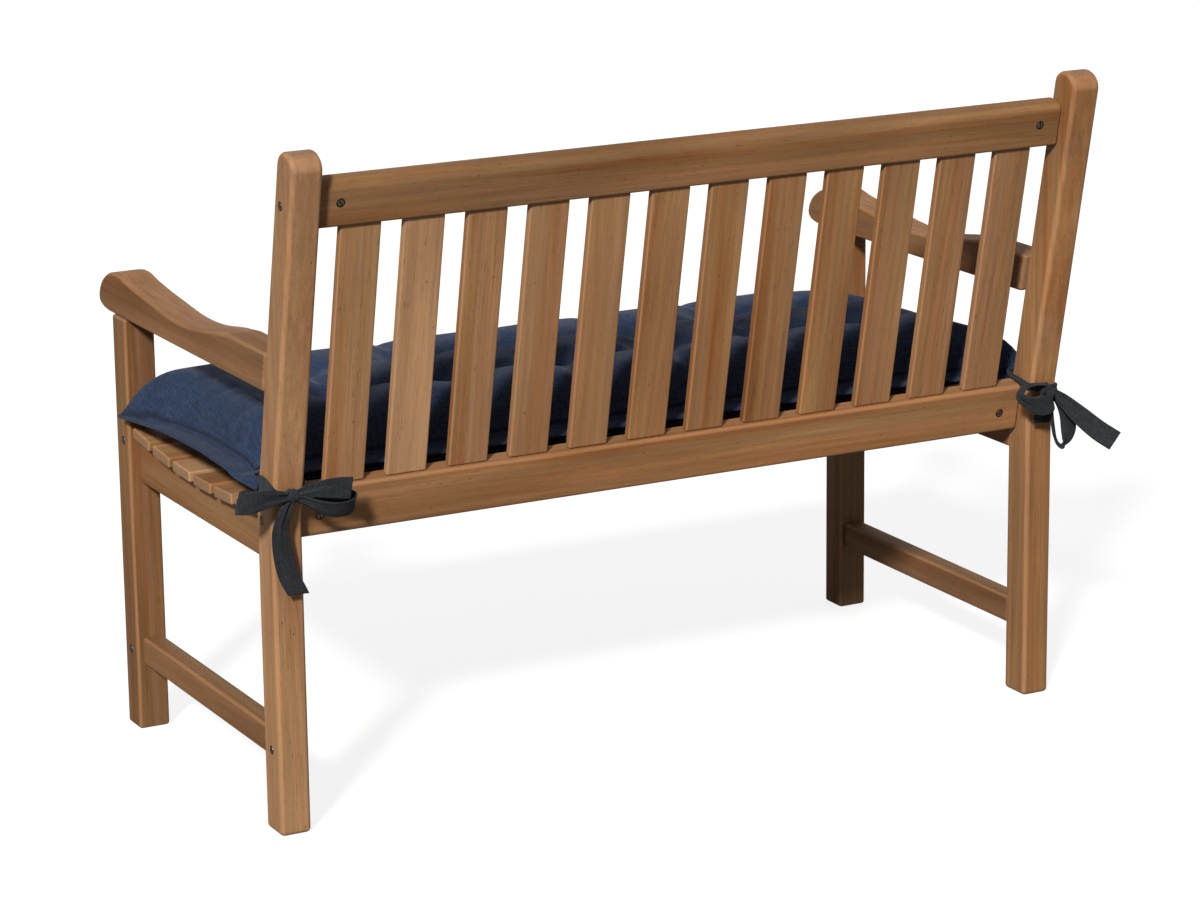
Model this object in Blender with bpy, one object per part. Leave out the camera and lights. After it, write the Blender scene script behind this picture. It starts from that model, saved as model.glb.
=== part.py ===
"""Bench cushion tied to a garden bench.

Metres, +Z up. The floor is z = 0, the bench's front faces -Y and its backrest is at +Y.
X runs along the bench. The origin is on the floor, in the middle of the whole thing.
"""

import math

import bmesh
import bpy
from mathutils import Vector

# Bench frame
BENCH_WIDTH = 1.200
LEG_FRONT_Y = -0.2985
LEG_WIDTH = 0.045
LEG_DEPTH = 0.045
POST_WIDTH = 0.043
POST_DEPTH = 0.050
POST_FRONT_Y = 0.1945
POST_BEND_Z = 0.430
POST_LENGTH_ABOVE_BEND = 0.5015
POST_CAP_RISE = 0.020
RAKE = math.radians(12.0)
GAP = 0.0003

# Armrest
ARM_WIDTH = 0.049
ARM_UNDERSIDE_Z = 0.593
ARM_NOSE_AND_TOP = (
    (-0.311, 0.5930),
    (-0.331, 0.5955),
    (-0.344, 0.6015),
    (-0.347, 0.6116),
    (-0.341, 0.6258),
    (-0.329, 0.6378),
    (-0.306, 0.6490),
    (-0.272, 0.6530),
    (-0.235, 0.6465),
    (-0.185, 0.6400),
    (-0.135, 0.6348),
    (-0.085, 0.6300),
    (-0.038, 0.6290),
    (0.010, 0.6322),
    (0.065, 0.6405),
    (0.120, 0.6462),
)

# Back: two rails and the upright slats between them, along the rake
RAIL_THICKNESS = 0.030
RAIL_INSET = 0.0005
BOTTOM_RAIL = (-0.0344, 0.0346)
TOP_RAIL = (0.3967, 0.4588)
BACK_SLATS = 12
BACK_SLAT_WIDTH = 0.057
BACK_SLAT_PITCH = 0.0889
BACK_SLAT_THICKNESS = 0.012
BACK_SLAT_INSET = 0.0121

# Seat: slats along X laid in a shallow dip, on two side rails and a front rail
SEAT_SLATS = 6
SEAT_SLAT_WIDTH = 0.0585
SEAT_SLAT_THICKNESS = 0.0155
SEAT_SLAT_PITCH = 0.0720
SEAT_FIRST_Y = -0.2075
SEAT_LOW_Z = 0.4275
SEAT_LOW_Y = -0.007
SEAT_DIP = 0.306
SIDE_RAIL_OUTER_X = 0.584
SIDE_RAIL_THICKNESS = 0.024
SIDE_RAIL_LOWER_Z = 0.359
FRONT_RAIL_Y = (-0.290, -0.266)
FRONT_RAIL_LOWER_Z = 0.375
STRETCHER_OUTER_X = 0.5915
STRETCHER_THICKNESS = 0.030
STRETCHER_Z = (0.096, 0.135)

# Cushion
CUSHION_END_X = (-0.608, 0.616)
CUSHION_BACK_Y = 0.187
CUSHION_FRONT_Y = -0.249
CUSHION_FRONT_BOW = 0.023
FLANGE_WIDTH = 0.034
FLANGE_THICKNESS = 0.004
FLANGE_Z = 0.468
CORNER_RADIUS = 0.012
PAD_RISE = 0.0685
FRONT_SHOULDER = 0.092
BACK_SHOULDER = 0.055
RIGHT_SHOULDER = 0.045
LEFT_SHOULDER_FRONT = 0.238
LEFT_SHOULDER_BACK = 0.103
BELLY_SHOULDER = 0.085
FULL_CORNER_REACH = 0.140
LEFT_CORNER_REACH = 0.110
LEFT_CORNER_SHOULDER = 0.030
SEAT_CLEARANCE = 0.0004
TUFT_COLUMNS = 6
TUFT_PITCH_X = 0.164
TUFT_ROWS_Y = (-0.092, 0.030)
TUFT_DEPTH = 0.030
TUFT_RADIUS = 0.030
CREASE_DEPTH = 0.011
CREASE_WIDTH = 0.014
CREASE_FADE = 0.070
CORNER_DROOP = 0.014
LEFT_CORNER_DROOP = 0.018
CORNER_REACH = 0.085

# Ties
RIBBON_THICKNESS = 0.0014
KNOT_HALF = (0.0085, 0.0075, 0.0070)

WOOD_COLOURS = ((0.46, 0.27, 0.13), (0.42, 0.25, 0.12), (0.50, 0.30, 0.15))
CLOTH_COLOUR = (0.035, 0.055, 0.115)
RIBBON_COLOUR = (0.035, 0.037, 0.042)


def clear_scene():
    for obj in list(bpy.data.objects):
        bpy.data.objects.remove(obj, do_unlink=True)


def make_material(name, colour, roughness):
    material = bpy.data.materials.new(name)
    material.use_nodes = True
    shader = material.node_tree.nodes["Principled BSDF"]
    shader.inputs["Base Color"].default_value = (*colour, 1.0)
    shader.inputs["Roughness"].default_value = roughness
    shader.inputs["Metallic"].default_value = 0.0
    return material


def add_object(name, verts, faces, material, smooth=False):
    mesh = bpy.data.meshes.new(name)
    mesh.from_pydata([tuple(v) for v in verts], [], faces)
    work = bmesh.new()
    work.from_mesh(mesh)
    bmesh.ops.recalc_face_normals(work, faces=work.faces)
    work.to_mesh(mesh)
    work.free()
    mesh.materials.append(material)
    if smooth:
        mesh.shade_smooth()
        mesh.set_sharp_from_angle(angle=math.radians(40))
    obj = bpy.data.objects.new(name, mesh)
    bpy.context.scene.collection.objects.link(obj)
    return obj


def ease_edges(obj, width, segments=1):
    bevel = obj.modifiers.new("Eased edges", "BEVEL")
    bevel.width = width
    bevel.segments = segments
    bevel.limit_method = "ANGLE"
    bevel.angle_limit = math.radians(50)
    return obj


def board(name, outline, x_low, x_high, material, edge=0.003, segments=1):
    """A board cut to an outline in Y and Z, standing from x_low to x_high."""
    count = len(outline)
    verts = [(x, y, z) for x in (x_low, x_high) for y, z in outline]
    faces = [tuple(range(count)), tuple(range(2 * count - 1, count - 1, -1))]
    faces += [(i, (i + 1) % count, count + (i + 1) % count, count + i) for i in range(count)]
    return ease_edges(add_object(name, verts, faces, material), edge, segments)


def raked(along, behind):
    """Y and Z of a point so far up the raked back, and so far behind its front plane."""
    y = POST_FRONT_Y + along * math.sin(RAKE) + behind * math.cos(RAKE)
    z = POST_BEND_Z + along * math.cos(RAKE) - behind * math.sin(RAKE)
    return y, z


def post_front_y(z):
    return POST_FRONT_Y + max(0.0, z - POST_BEND_Z) * math.tan(RAKE)


def seat_z(y):
    """Height of the slats' top faces, which lie in a shallow dip."""
    return SEAT_LOW_Z + SEAT_DIP * (y - SEAT_LOW_Y) ** 2


def post_outline():
    """Upright below the seat, raked above it, with a top rounded front to back."""
    back_y = POST_FRONT_Y + POST_DEPTH
    bend_back_z = POST_BEND_Z - POST_DEPTH * math.tan(RAKE / 2)
    outline = [(back_y, 0.0), (back_y, bend_back_z)]
    half = POST_DEPTH / 2
    shoulder = POST_LENGTH_ABOVE_BEND - POST_CAP_RISE
    for step in range(9):
        angle = math.pi * step / 8
        along = shoulder + POST_CAP_RISE * math.sin(angle)
        outline.append(raked(along, half + half * math.cos(angle)))
    outline += [(POST_FRONT_Y, POST_BEND_Z), (POST_FRONT_Y, 0.0)]
    return outline


def arm_outline():
    """A flat underside, a scrolled nose, and a top that dips and rises again to the post."""
    outline = list(ARM_NOSE_AND_TOP)
    top_z = ARM_NOSE_AND_TOP[-1][1]
    outline.append((post_front_y(top_z) - GAP * 1.1, top_z))
    outline.append((post_front_y(ARM_UNDERSIDE_Z) - GAP * 1.1, ARM_UNDERSIDE_Z))
    return outline


def raked_outline(span, inset, thickness):
    low, high = span
    corners = ((low, inset), (high, inset), (high, inset + thickness), (low, inset + thickness))
    return [raked(along, behind) for along, behind in corners]


def seat_slat_outline(centre_y):
    """A slat's section, tangent to the dip at its middle."""
    slope = math.atan(2 * SEAT_DIP * (centre_y - SEAT_LOW_Y))
    across = Vector((math.cos(slope), math.sin(slope)))
    up = Vector((-math.sin(slope), math.cos(slope)))
    top = Vector((centre_y, seat_z(centre_y)))
    half = SEAT_SLAT_WIDTH / 2
    corners = [top - across * half, top + across * half]
    corners += [c - up * SEAT_SLAT_THICKNESS for c in reversed(corners)]
    return [tuple(c) for c in corners]


def side_rail_outline():
    """The rail's top edge carries the slats one by one, a hair below each."""
    front_y = LEG_FRONT_Y + LEG_DEPTH + GAP
    back_y = POST_FRONT_Y - GAP
    top = []
    for index in range(SEAT_SLATS):
        section = seat_slat_outline(SEAT_FIRST_Y + index * SEAT_SLAT_PITCH)
        back_low, front_low = section[2], section[3]
        top.append((front_low[0], front_low[1] - GAP))
        top.append((back_low[0], back_low[1] - GAP))
    first_z, last_z = top[0][1], top[-1][1]
    return [
        (front_y, SIDE_RAIL_LOWER_Z),
        (front_y, first_z),
        *top,
        (back_y, last_z),
        (back_y, SIDE_RAIL_LOWER_Z),
    ]


def front_rail_outline(slat_section):
    low_y, high_y = FRONT_RAIL_Y
    back_low, front_low = slat_section[2], slat_section[3]
    slope = (back_low[1] - front_low[1]) / (back_low[0] - front_low[0])
    top = [front_low[1] + slope * (y - front_low[0]) - GAP for y in FRONT_RAIL_Y]
    return [
        (low_y, FRONT_RAIL_LOWER_Z),
        (low_y, top[0]),
        (high_y, top[1]),
        (high_y, FRONT_RAIL_LOWER_Z),
    ]


def build_bench(woods):
    outer = BENCH_WIDTH / 2
    light, mid, warm = woods
    leg_back = LEG_FRONT_Y + LEG_DEPTH
    leg = [
        (LEG_FRONT_Y, 0.0),
        (LEG_FRONT_Y, ARM_UNDERSIDE_Z - GAP),
        (leg_back, ARM_UNDERSIDE_Z - GAP),
        (leg_back, 0.0),
    ]
    stretcher = [
        (leg_back + GAP, STRETCHER_Z[0]),
        (leg_back + GAP, STRETCHER_Z[1]),
        (POST_FRONT_Y - GAP, STRETCHER_Z[1]),
        (POST_FRONT_Y - GAP, STRETCHER_Z[0]),
    ]
    for side, sign in (("right", 1), ("left", -1)):

        def pair(low, high):
            return sorted((sign * low, sign * high))

        board(f"post_{side}", post_outline(), *pair(outer - POST_WIDTH, outer), mid, 0.006, 2)
        board(f"leg_{side}", leg, *pair(outer - LEG_WIDTH, outer), light, 0.005)
        board(f"arm_{side}", arm_outline(), *pair(outer - ARM_WIDTH, outer), warm, 0.004, 2)
        low_x = SIDE_RAIL_OUTER_X - SIDE_RAIL_THICKNESS
        board(f"side_rail_{side}", side_rail_outline(), *pair(low_x, SIDE_RAIL_OUTER_X), warm, 0.002)
        low_x = STRETCHER_OUTER_X - STRETCHER_THICKNESS
        board(f"stretcher_{side}", stretcher, *pair(low_x, STRETCHER_OUTER_X), mid, 0.004)

    inner = outer - POST_WIDTH - GAP
    for name, span, wood in (("top_rail", TOP_RAIL, warm), ("bottom_rail", BOTTOM_RAIL, light)):
        outline = raked_outline(span, RAIL_INSET, RAIL_THICKNESS)
        board(name, outline, -inner, inner, wood, 0.005, 2)
    slat_span = (BOTTOM_RAIL[1] + GAP, TOP_RAIL[0] - GAP)
    for index in range(BACK_SLATS):
        centre = (index - (BACK_SLATS - 1) / 2) * BACK_SLAT_PITCH
        outline = raked_outline(slat_span, BACK_SLAT_INSET, BACK_SLAT_THICKNESS)
        half = BACK_SLAT_WIDTH / 2
        board(f"back_slat_{index + 1:02d}", outline, centre - half, centre + half, woods[index % 3])

    for index in range(SEAT_SLATS):
        outline = seat_slat_outline(SEAT_FIRST_Y + index * SEAT_SLAT_PITCH)
        board(f"seat_slat_{index + 2}", outline, -outer, outer, woods[(index + 1) % 3])
    front_section = seat_slat_outline(SEAT_FIRST_Y - SEAT_SLAT_PITCH)
    between_legs = outer - LEG_WIDTH - GAP
    board("seat_slat_1", front_section, -between_legs, between_legs, mid)
    rail = front_rail_outline(front_section)
    board("front_rail", rail, -between_legs, between_legs, warm)


def quarter_round(distance, reach):
    """0 at an edge, rising steeply to 1 at the reach, as a filled edge does."""
    left = 1.0 - min(max(distance / reach, 0.0), 1.0)
    return math.sqrt(max(0.0, 1.0 - left * left))


def bump(distance, width):
    return math.exp(-((distance / width) ** 2))


def cushion_front_y(x):
    """The front edge stands behind the legs at the ends and bows forward between them."""
    half = BENCH_WIDTH / 2 - LEG_WIDTH - 0.010
    share = min(max((half - abs(x)) / 0.10, 0.0), 1.0)
    return CUSHION_FRONT_Y - CUSHION_FRONT_BOW * share * share * (3 - 2 * share)


def tuft_points():
    middle = sum(CUSHION_END_X) / 2
    first = middle - (TUFT_COLUMNS - 1) / 2 * TUFT_PITCH_X
    return [(first + c * TUFT_PITCH_X, y) for c in range(TUFT_COLUMNS) for y in TUFT_ROWS_Y]


def tufting(x, y):
    """How far the stitched tufts and the creases between them pull the cloth in."""
    points = tuft_points()
    beyond_x = max(points[0][0] - x, x - points[-1][0], 0.0)
    beyond_y = max(TUFT_ROWS_Y[0] - y, y - TUFT_ROWS_Y[1], 0.0)
    row_crease = CREASE_DEPTH * bump(beyond_x, CREASE_FADE)
    column_crease = 0.7 * CREASE_DEPTH * bump(beyond_y, 1.7 * CREASE_FADE)
    depth = 0.0
    for tuft_x, tuft_y in points:
        depth = max(depth, TUFT_DEPTH * bump(math.hypot(x - tuft_x, y - tuft_y), TUFT_RADIUS))
        depth = max(depth, row_crease * bump(y - tuft_y, CREASE_WIDTH))
        depth = max(depth, column_crease * bump(x - tuft_x, CREASE_WIDTH))
    return depth


def edge_distances(x, y):
    """How far a point is in from the left, right, front and back edges."""
    low_x, high_x = CUSHION_END_X
    return x - low_x, high_x - x, y - cushion_front_y(x), CUSHION_BACK_Y - y


def left_corner(x, y):
    """1 at the left rear corner, which its post holds up full, falling to 0 away from it."""
    return bump(math.hypot(x - CUSHION_END_X[0], y - CUSHION_BACK_Y), LEFT_CORNER_REACH)


def flange_height(x, y):
    """The flat border's height, with both tied corners pulled down."""
    right = math.hypot(x - CUSHION_END_X[1], y - CUSHION_BACK_Y)
    droop = CORNER_DROOP * max(0.0, 1.0 - right / CORNER_REACH) ** 1.5
    return FLANGE_Z - droop - LEFT_CORNER_DROOP * left_corner(x, y)


def flange_width(x, y):
    """The border is lost in the two corners that a leg and a post fill out."""
    corner = math.hypot(x - CUSHION_END_X[1], y - CUSHION_FRONT_Y)
    left = 1.0 - 0.93 * left_corner(x, y)
    return FLANGE_WIDTH * left * (1.0 - 0.93 * bump(corner, FULL_CORNER_REACH))


def cushion_heights(x, y):
    from_left, from_right, from_front, from_back = edge_distances(x, y)
    flange = flange_width(x, y)
    backward = from_front / (from_front + from_back)
    left_shoulder = LEFT_SHOULDER_FRONT + (LEFT_SHOULDER_BACK - LEFT_SHOULDER_FRONT) * backward
    left_shoulder += (LEFT_CORNER_SHOULDER - left_shoulder) * left_corner(x, y)
    rise = quarter_round(from_right - flange, RIGHT_SHOULDER)
    rise *= quarter_round(from_left - flange, left_shoulder)
    rise *= quarter_round(from_front - flange, FRONT_SHOULDER)
    rise *= quarter_round(from_back - flange, BACK_SHOULDER)
    belly = 1.0
    for distance in (from_left, from_right, from_front, from_back):
        belly *= quarter_round(distance - FLANGE_WIDTH, BELLY_SHOULDER)
    seam = flange_height(x, y)
    half = FLANGE_THICKNESS / 2
    top = seam + half + rise * (PAD_RISE - tufting(x, y))
    rest = seat_z(y) + SEAT_CLEARANCE
    bottom = (seam - half) * (1 - belly) + rest * belly
    return top, max(bottom, rest)


def cushion_stations(low, high, spacing):
    """Grid lines across the cushion: close together over the border and the shoulder."""
    border = [0.0, 0.006, FLANGE_WIDTH - 0.004, FLANGE_WIDTH + 0.002, FLANGE_WIDTH + 0.009]
    border += [FLANGE_WIDTH + 0.021, FLANGE_WIDTH + 0.040]
    start, end = low + border[-1], high - border[-1]
    cells = round((end - start) / spacing)
    middle = [start + (end - start) * i / cells for i in range(1, cells)]
    return [low + d for d in border] + middle + [high - d for d in reversed(border)]


def build_cushion(material):
    columns = cushion_stations(*CUSHION_END_X, 0.0205)
    rows = cushion_stations(CUSHION_FRONT_Y, CUSHION_BACK_Y, 0.0200)
    depth = CUSHION_BACK_Y - CUSHION_FRONT_Y
    tops, bottoms = [], []
    for row in rows:
        share = (row - CUSHION_FRONT_Y) / depth
        for column in columns:
            front = cushion_front_y(column)
            y = front + share * (CUSHION_BACK_Y - front)
            x = column
            left, right, ahead, behind = edge_distances(x, y)
            in_x, in_y = min(left, right), min(ahead, behind)
            if in_x < CORNER_RADIUS and in_y < CORNER_RADIUS:
                short_x, short_y = CORNER_RADIUS - in_x, CORNER_RADIUS - in_y
                shrink = max(short_x, short_y) / math.hypot(short_x, short_y)
                x += math.copysign(short_x * (1 - shrink), -x)
                y += math.copysign(short_y * (1 - shrink), front + depth / 2 - y)
            top, bottom = cushion_heights(x, y)
            tops.append((x, y, top))
            bottoms.append((x, y, bottom))
    wide, deep = len(columns), len(rows)
    under = len(tops)
    faces = []
    for r in range(deep - 1):
        for c in range(wide - 1):
            a = r * wide + c
            quad = (a, a + 1, a + wide + 1, a + wide)
            faces.append(quad)
            faces.append(tuple(under + i for i in reversed(quad)))
    rim = [c for c in range(wide)]
    rim += [r * wide + wide - 1 for r in range(1, deep)]
    rim += [(deep - 1) * wide + c for c in range(wide - 2, -1, -1)]
    rim += [r * wide for r in range(deep - 2, 0, -1)]
    for a, b in zip(rim, rim[1:] + rim[:1]):
        faces.append((b, a, under + a, under + b))
    return add_object("cushion", tops + bottoms, faces, material, smooth=True)


# Each ribbon's route: x, y, z of its middle, its width there, and the way its width points.
RIGHT_RIBBONS = {
    "outer_strap": (
        (0.5980, 0.1902, 0.4596, 0.013, (1.0, 0.0, 0.2)),
        (0.6050, 0.1985, 0.4665, 0.021, (0.2, 0.0, 1.0)),
        (0.6040, 0.2120, 0.4710, 0.027, (0.0, 0.0, 1.0)),
        (0.6032, 0.2290, 0.4700, 0.026, (0.0, 0.0, 1.0)),
        (0.6030, 0.2480, 0.4665, 0.019, (0.0, 0.0, 1.0)),
        (0.5985, 0.2575, 0.4645, 0.013, (0.0, 0.0, 1.0)),
        (0.5830, 0.2600, 0.4632, 0.010, (0.0, 0.0, 1.0)),
    ),
    "inner_strap": (
        (0.6010, 0.1930, 0.4640, 0.014, (0.0, 0.0, 1.0)),
        (0.5770, 0.1945, 0.4700, 0.013, (0.0, 0.0, 1.0)),
        (0.5580, 0.1965, 0.4735, 0.012, (0.0, 0.0, 1.0)),
        (0.5527, 0.2060, 0.4735, 0.012, (0.0, 0.0, 1.0)),
        (0.5528, 0.2280, 0.4725, 0.012, (0.0, 0.0, 1.0)),
        (0.5540, 0.2500, 0.4690, 0.012, (0.0, 0.0, 1.0)),
        (0.5610, 0.2590, 0.4660, 0.011, (0.0, 0.0, 1.0)),
        (0.5740, 0.2610, 0.4632, 0.010, (0.0, 0.0, 1.0)),
    ),
    "outer_loop": (
        (0.5800, 0.2650, 0.4630, 0.010, (0.0, 0.0, 1.0)),
        (0.6040, 0.2710, 0.4650, 0.018, (0.0, 0.0, 1.0)),
        (0.6240, 0.2740, 0.4655, 0.026, (0.0, 0.0, 1.0)),
        (0.6420, 0.2720, 0.4640, 0.029, (-0.20, 0.0, 1.0)),
        (0.6530, 0.2620, 0.4635, 0.029, (-0.30, 0.0, 1.0)),
        (0.6400, 0.2525, 0.4620, 0.028, (-0.20, 0.0, 1.0)),
        (0.6220, 0.2530, 0.4600, 0.026, (0.0, 0.0, 1.0)),
        (0.6060, 0.2580, 0.4610, 0.018, (0.0, 0.0, 1.0)),
        (0.5820, 0.2600, 0.4630, 0.010, (0.0, 0.0, 1.0)),
    ),
    "short_tail": (
        (0.5770, 0.2650, 0.4640, 0.010, (0.0, 0.0, 1.0)),
        (0.5650, 0.2700, 0.4665, 0.014, (0.0, 0.0, 1.0)),
        (0.5510, 0.2750, 0.4695, 0.021, (0.0, 0.0, 1.0)),
        (0.5290, 0.2790, 0.4700, 0.028, (0.0, 0.0, 1.0)),
        (0.5050, 0.2810, 0.4685, 0.0295, (0.0, 0.0, 1.0)),
    ),
    "inner_loop": (
        (0.5770, 0.2640, 0.4605, 0.009, (0.0, 0.3, 1.0)),
        (0.5620, 0.2690, 0.4550, 0.016, (0.0, 0.6, 1.0)),
        (0.5460, 0.2750, 0.4480, 0.024, (0.0, 0.8, 1.0)),
        (0.5230, 0.2770, 0.4420, 0.028, (0.0, 0.8, 1.0)),
        (0.5020, 0.2730, 0.4410, 0.029, (0.0, 0.8, 1.0)),
        (0.4920, 0.2650, 0.4440, 0.029, (0.0, 0.7, 1.0)),
        (0.4990, 0.2560, 0.4480, 0.028, (0.0, 0.4, 1.0)),
        (0.5230, 0.2550, 0.4530, 0.024, (0.0, 0.2, 1.0)),
        (0.5510, 0.2580, 0.4590, 0.016, (0.0, 0.0, 1.0)),
        (0.5750, 0.2600, 0.4620, 0.009, (0.0, 0.0, 1.0)),
    ),
    "long_tail": (
        (0.5790, 0.2640, 0.4610, 0.010, (1.0, 0.0, 0.5)),
        (0.5900, 0.2660, 0.4440, 0.017, (1.0, 0.0, 0.3)),
        (0.5960, 0.2620, 0.4190, 0.023, (1.0, 0.0, 0.0)),
        (0.5930, 0.2590, 0.3920, 0.026, (1.0, 0.0, -0.1)),
        (0.5860, 0.2570, 0.3600, 0.026, (1.0, 0.0, -0.25)),
        (0.5720, 0.2570, 0.3300, 0.025, (1.0, 0.0, -0.25)),
    ),
}
RIGHT_KNOT = (0.5780, 0.2605, 0.4628)

LEFT_RIBBONS = {
    "outer_strap": (
        (-0.5990, 0.1890, 0.4560, 0.012, (-1.0, 0.0, 0.3)),
        (-0.6035, 0.1990, 0.4610, 0.015, (-0.4, 0.0, 1.0)),
        (-0.6040, 0.2130, 0.4640, 0.019, (0.0, 0.0, 1.0)),
        (-0.6032, 0.2290, 0.4630, 0.020, (0.0, 0.0, 1.0)),
        (-0.6030, 0.2480, 0.4610, 0.016, (0.0, 0.0, 1.0)),
        (-0.5975, 0.2575, 0.4585, 0.012, (0.0, 0.0, 1.0)),
        (-0.5780, 0.2605, 0.4565, 0.010, (0.0, 0.0, 1.0)),
    ),
    "inner_strap": (
        (-0.6000, 0.1930, 0.4590, 0.012, (0.0, 0.0, 1.0)),
        (-0.5740, 0.1925, 0.4670, 0.011, (0.0, 0.0, 1.0)),
        (-0.5570, 0.1955, 0.4705, 0.011, (0.0, 0.0, 1.0)),
        (-0.5527, 0.2050, 0.4705, 0.011, (0.0, 0.0, 1.0)),
        (-0.5528, 0.2280, 0.4670, 0.011, (0.0, 0.0, 1.0)),
        (-0.5540, 0.2490, 0.4620, 0.011, (0.0, 0.0, 1.0)),
        (-0.5610, 0.2585, 0.4600, 0.011, (0.0, 0.0, 1.0)),
        (-0.5710, 0.2605, 0.4565, 0.010, (0.0, 0.0, 1.0)),
    ),
    "inner_loop": (
        (-0.5720, 0.2650, 0.4590, 0.010, (0.0, 0.3, 1.0)),
        (-0.5540, 0.2740, 0.4660, 0.013, (0.0, 0.6, 1.0)),
        (-0.5340, 0.2820, 0.4640, 0.016, (-0.1, 0.9, 0.7)),
        (-0.5210, 0.2850, 0.4530, 0.019, (-0.2, 1.0, 0.4)),
        (-0.5240, 0.2840, 0.4390, 0.023, (-0.1, 1.0, 0.3)),
        (-0.5380, 0.2820, 0.4330, 0.027, (0.2, 0.9, 0.4)),
        (-0.5540, 0.2780, 0.4360, 0.029, (0.5, 0.3, 0.7)),
        (-0.5670, 0.2710, 0.4470, 0.020, (0.7, -0.1, 0.6)),
        (-0.5740, 0.2640, 0.4550, 0.010, (0.8, 0.0, 0.4)),
    ),
    "short_tail": (
        (-0.5730, 0.2620, 0.4540, 0.010, (1.0, 0.0, 0.1)),
        (-0.5705, 0.2610, 0.4350, 0.019, (1.0, 0.0, 0.1)),
        (-0.5690, 0.2590, 0.4100, 0.027, (1.0, 0.0, 0.1)),
    ),
    "long_tail": (
        (-0.5740, 0.2650, 0.4570, 0.010, (-0.2, 0.0, 1.0)),
        (-0.5930, 0.2760, 0.4420, 0.018, (-0.4, 0.0, 1.0)),
        (-0.6110, 0.2930, 0.4200, 0.026, (-0.5, 0.0, 1.0)),
        (-0.6290, 0.3130, 0.4000, 0.029, (-0.5, 0.0, 1.0)),
        (-0.6450, 0.3330, 0.3860, 0.0295, (-0.6, 0.0, 1.0)),
    ),
    "outer_loop": (
        (-0.5760, 0.2640, 0.4540, 0.010, (0.5, 1.0, 0.2)),
        (-0.5800, 0.2700, 0.4330, 0.015, (0.5, 1.0, 0.2)),
        (-0.5805, 0.2740, 0.4080, 0.018, (0.5, 1.0, 0.2)),
        (-0.5850, 0.2750, 0.3850, 0.019, (0.4, 1.0, 0.1)),
        (-0.5955, 0.2750, 0.3740, 0.020, (0.3, 1.0, 0.0)),
        (-0.6080, 0.2750, 0.3840, 0.022, (0.5, 0.8, 0.0)),
        (-0.6100, 0.2740, 0.4030, 0.024, (0.9, 0.3, 0.0)),
        (-0.6010, 0.2680, 0.4210, 0.020, (1.0, 0.0, 0.0)),
        (-0.5890, 0.2630, 0.4420, 0.014, (1.0, 0.0, 0.2)),
        (-0.5780, 0.2600, 0.4560, 0.010, (1.0, 0.0, 0.4)),
    ),
}
LEFT_KNOT = (-0.5745, 0.2591, 0.4562)
STEPS_PER_SPAN = 4


def smooth_route(values, steps):
    """Catmull-Rom points through a row of vectors, ends included."""
    points = [Vector(v) for v in values]
    ends = [points[0] * 2 - points[1], *points, points[-1] * 2 - points[-2]]
    found = []
    for a, b, c, d in zip(ends, ends[1:], ends[2:], ends[3:]):
        for step in range(steps):
            t = step / steps
            linear = (c - a) * t
            square = (a * 2 - b * 5 + c * 4 - d) * t * t
            cube = (b * 3 - a - c * 3 + d) * t * t * t
            found.append((b * 2 + linear + square + cube) / 2)
    return found + [points[-1]]


def ribbon(name, rows, material):
    """A strip of even thickness along its route."""
    centres = smooth_route([row[:3] for row in rows], STEPS_PER_SPAN)
    widths = smooth_route([(row[3], 0, 0) for row in rows], STEPS_PER_SPAN)
    ways = smooth_route([row[4] for row in rows], STEPS_PER_SPAN)
    verts = []
    for i, centre in enumerate(centres):
        after = centres[min(i + 1, len(centres) - 1)]
        before = centres[max(i - 1, 0)]
        along = (after - before).normalized()
        across = (ways[i] - along * ways[i].dot(along)).normalized()
        out = along.cross(across) * (RIBBON_THICKNESS / 2)
        reach = across * (widths[i].x / 2)
        verts += [centre - reach - out, centre + reach - out]
        verts += [centre + reach + out, centre - reach + out]
    faces = [(3, 2, 1, 0), tuple(len(verts) - 4 + i for i in range(4))]
    for r in range(0, len(verts) - 4, 4):
        # Both broad sides are split along the same diagonal, so a twisted strip stays open.
        faces += [(r, r + 1, r + 5), (r, r + 5, r + 4)]
        faces += [(r + 2, r + 3, r + 6), (r + 3, r + 7, r + 6)]
        faces += [(r + 1, r + 2, r + 6, r + 5), (r + 3, r, r + 4, r + 7)]
    return add_object(name, verts, faces, material)


def build_tie(name, knot, ribbons, material):
    """One bow: a knot with its straps, loops and free ends grown into it."""
    work = bmesh.new()
    bmesh.ops.create_icosphere(work, subdivisions=2, radius=1.0)
    for vert in work.verts:
        vert.co = Vector(knot) + Vector(c * h for c, h in zip(vert.co, KNOT_HALF))
    mesh = bpy.data.meshes.new(name)
    work.to_mesh(mesh)
    work.free()
    mesh.materials.append(material)
    tie = bpy.data.objects.new(name, mesh)
    bpy.context.scene.collection.objects.link(tie)
    for label, rows in ribbons.items():
        strip = ribbon(f"{name}_{label}", rows, material)
        strip.hide_render = True
        strip.display_type = "WIRE"
        join = tie.modifiers.new(label, "BOOLEAN")
        join.operation = "UNION"
        join.solver = "EXACT"
        join.use_self = True
        join.object = strip
    return tie


clear_scene()
wood_materials = [
    make_material(f"teak_{name}", colour, 0.55)
    for name, colour in zip(("light", "mid", "warm"), WOOD_COLOURS)
]
build_bench(wood_materials)
build_cushion(make_material("blue_cloth", CLOTH_COLOUR, 0.9))
ribbon_material = make_material("grey_ribbon", RIBBON_COLOUR, 0.85)
build_tie("tie_right", RIGHT_KNOT, RIGHT_RIBBONS, ribbon_material)
build_tie("tie_left", LEFT_KNOT, LEFT_RIBBONS, ribbon_material)
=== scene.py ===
"""A tufted blue bench cushion, tied with ribbon bows to a slatted hardwood garden bench."""

import math

import bmesh
import bpy
import numpy as np
from mathutils import Matrix, Vector


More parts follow.
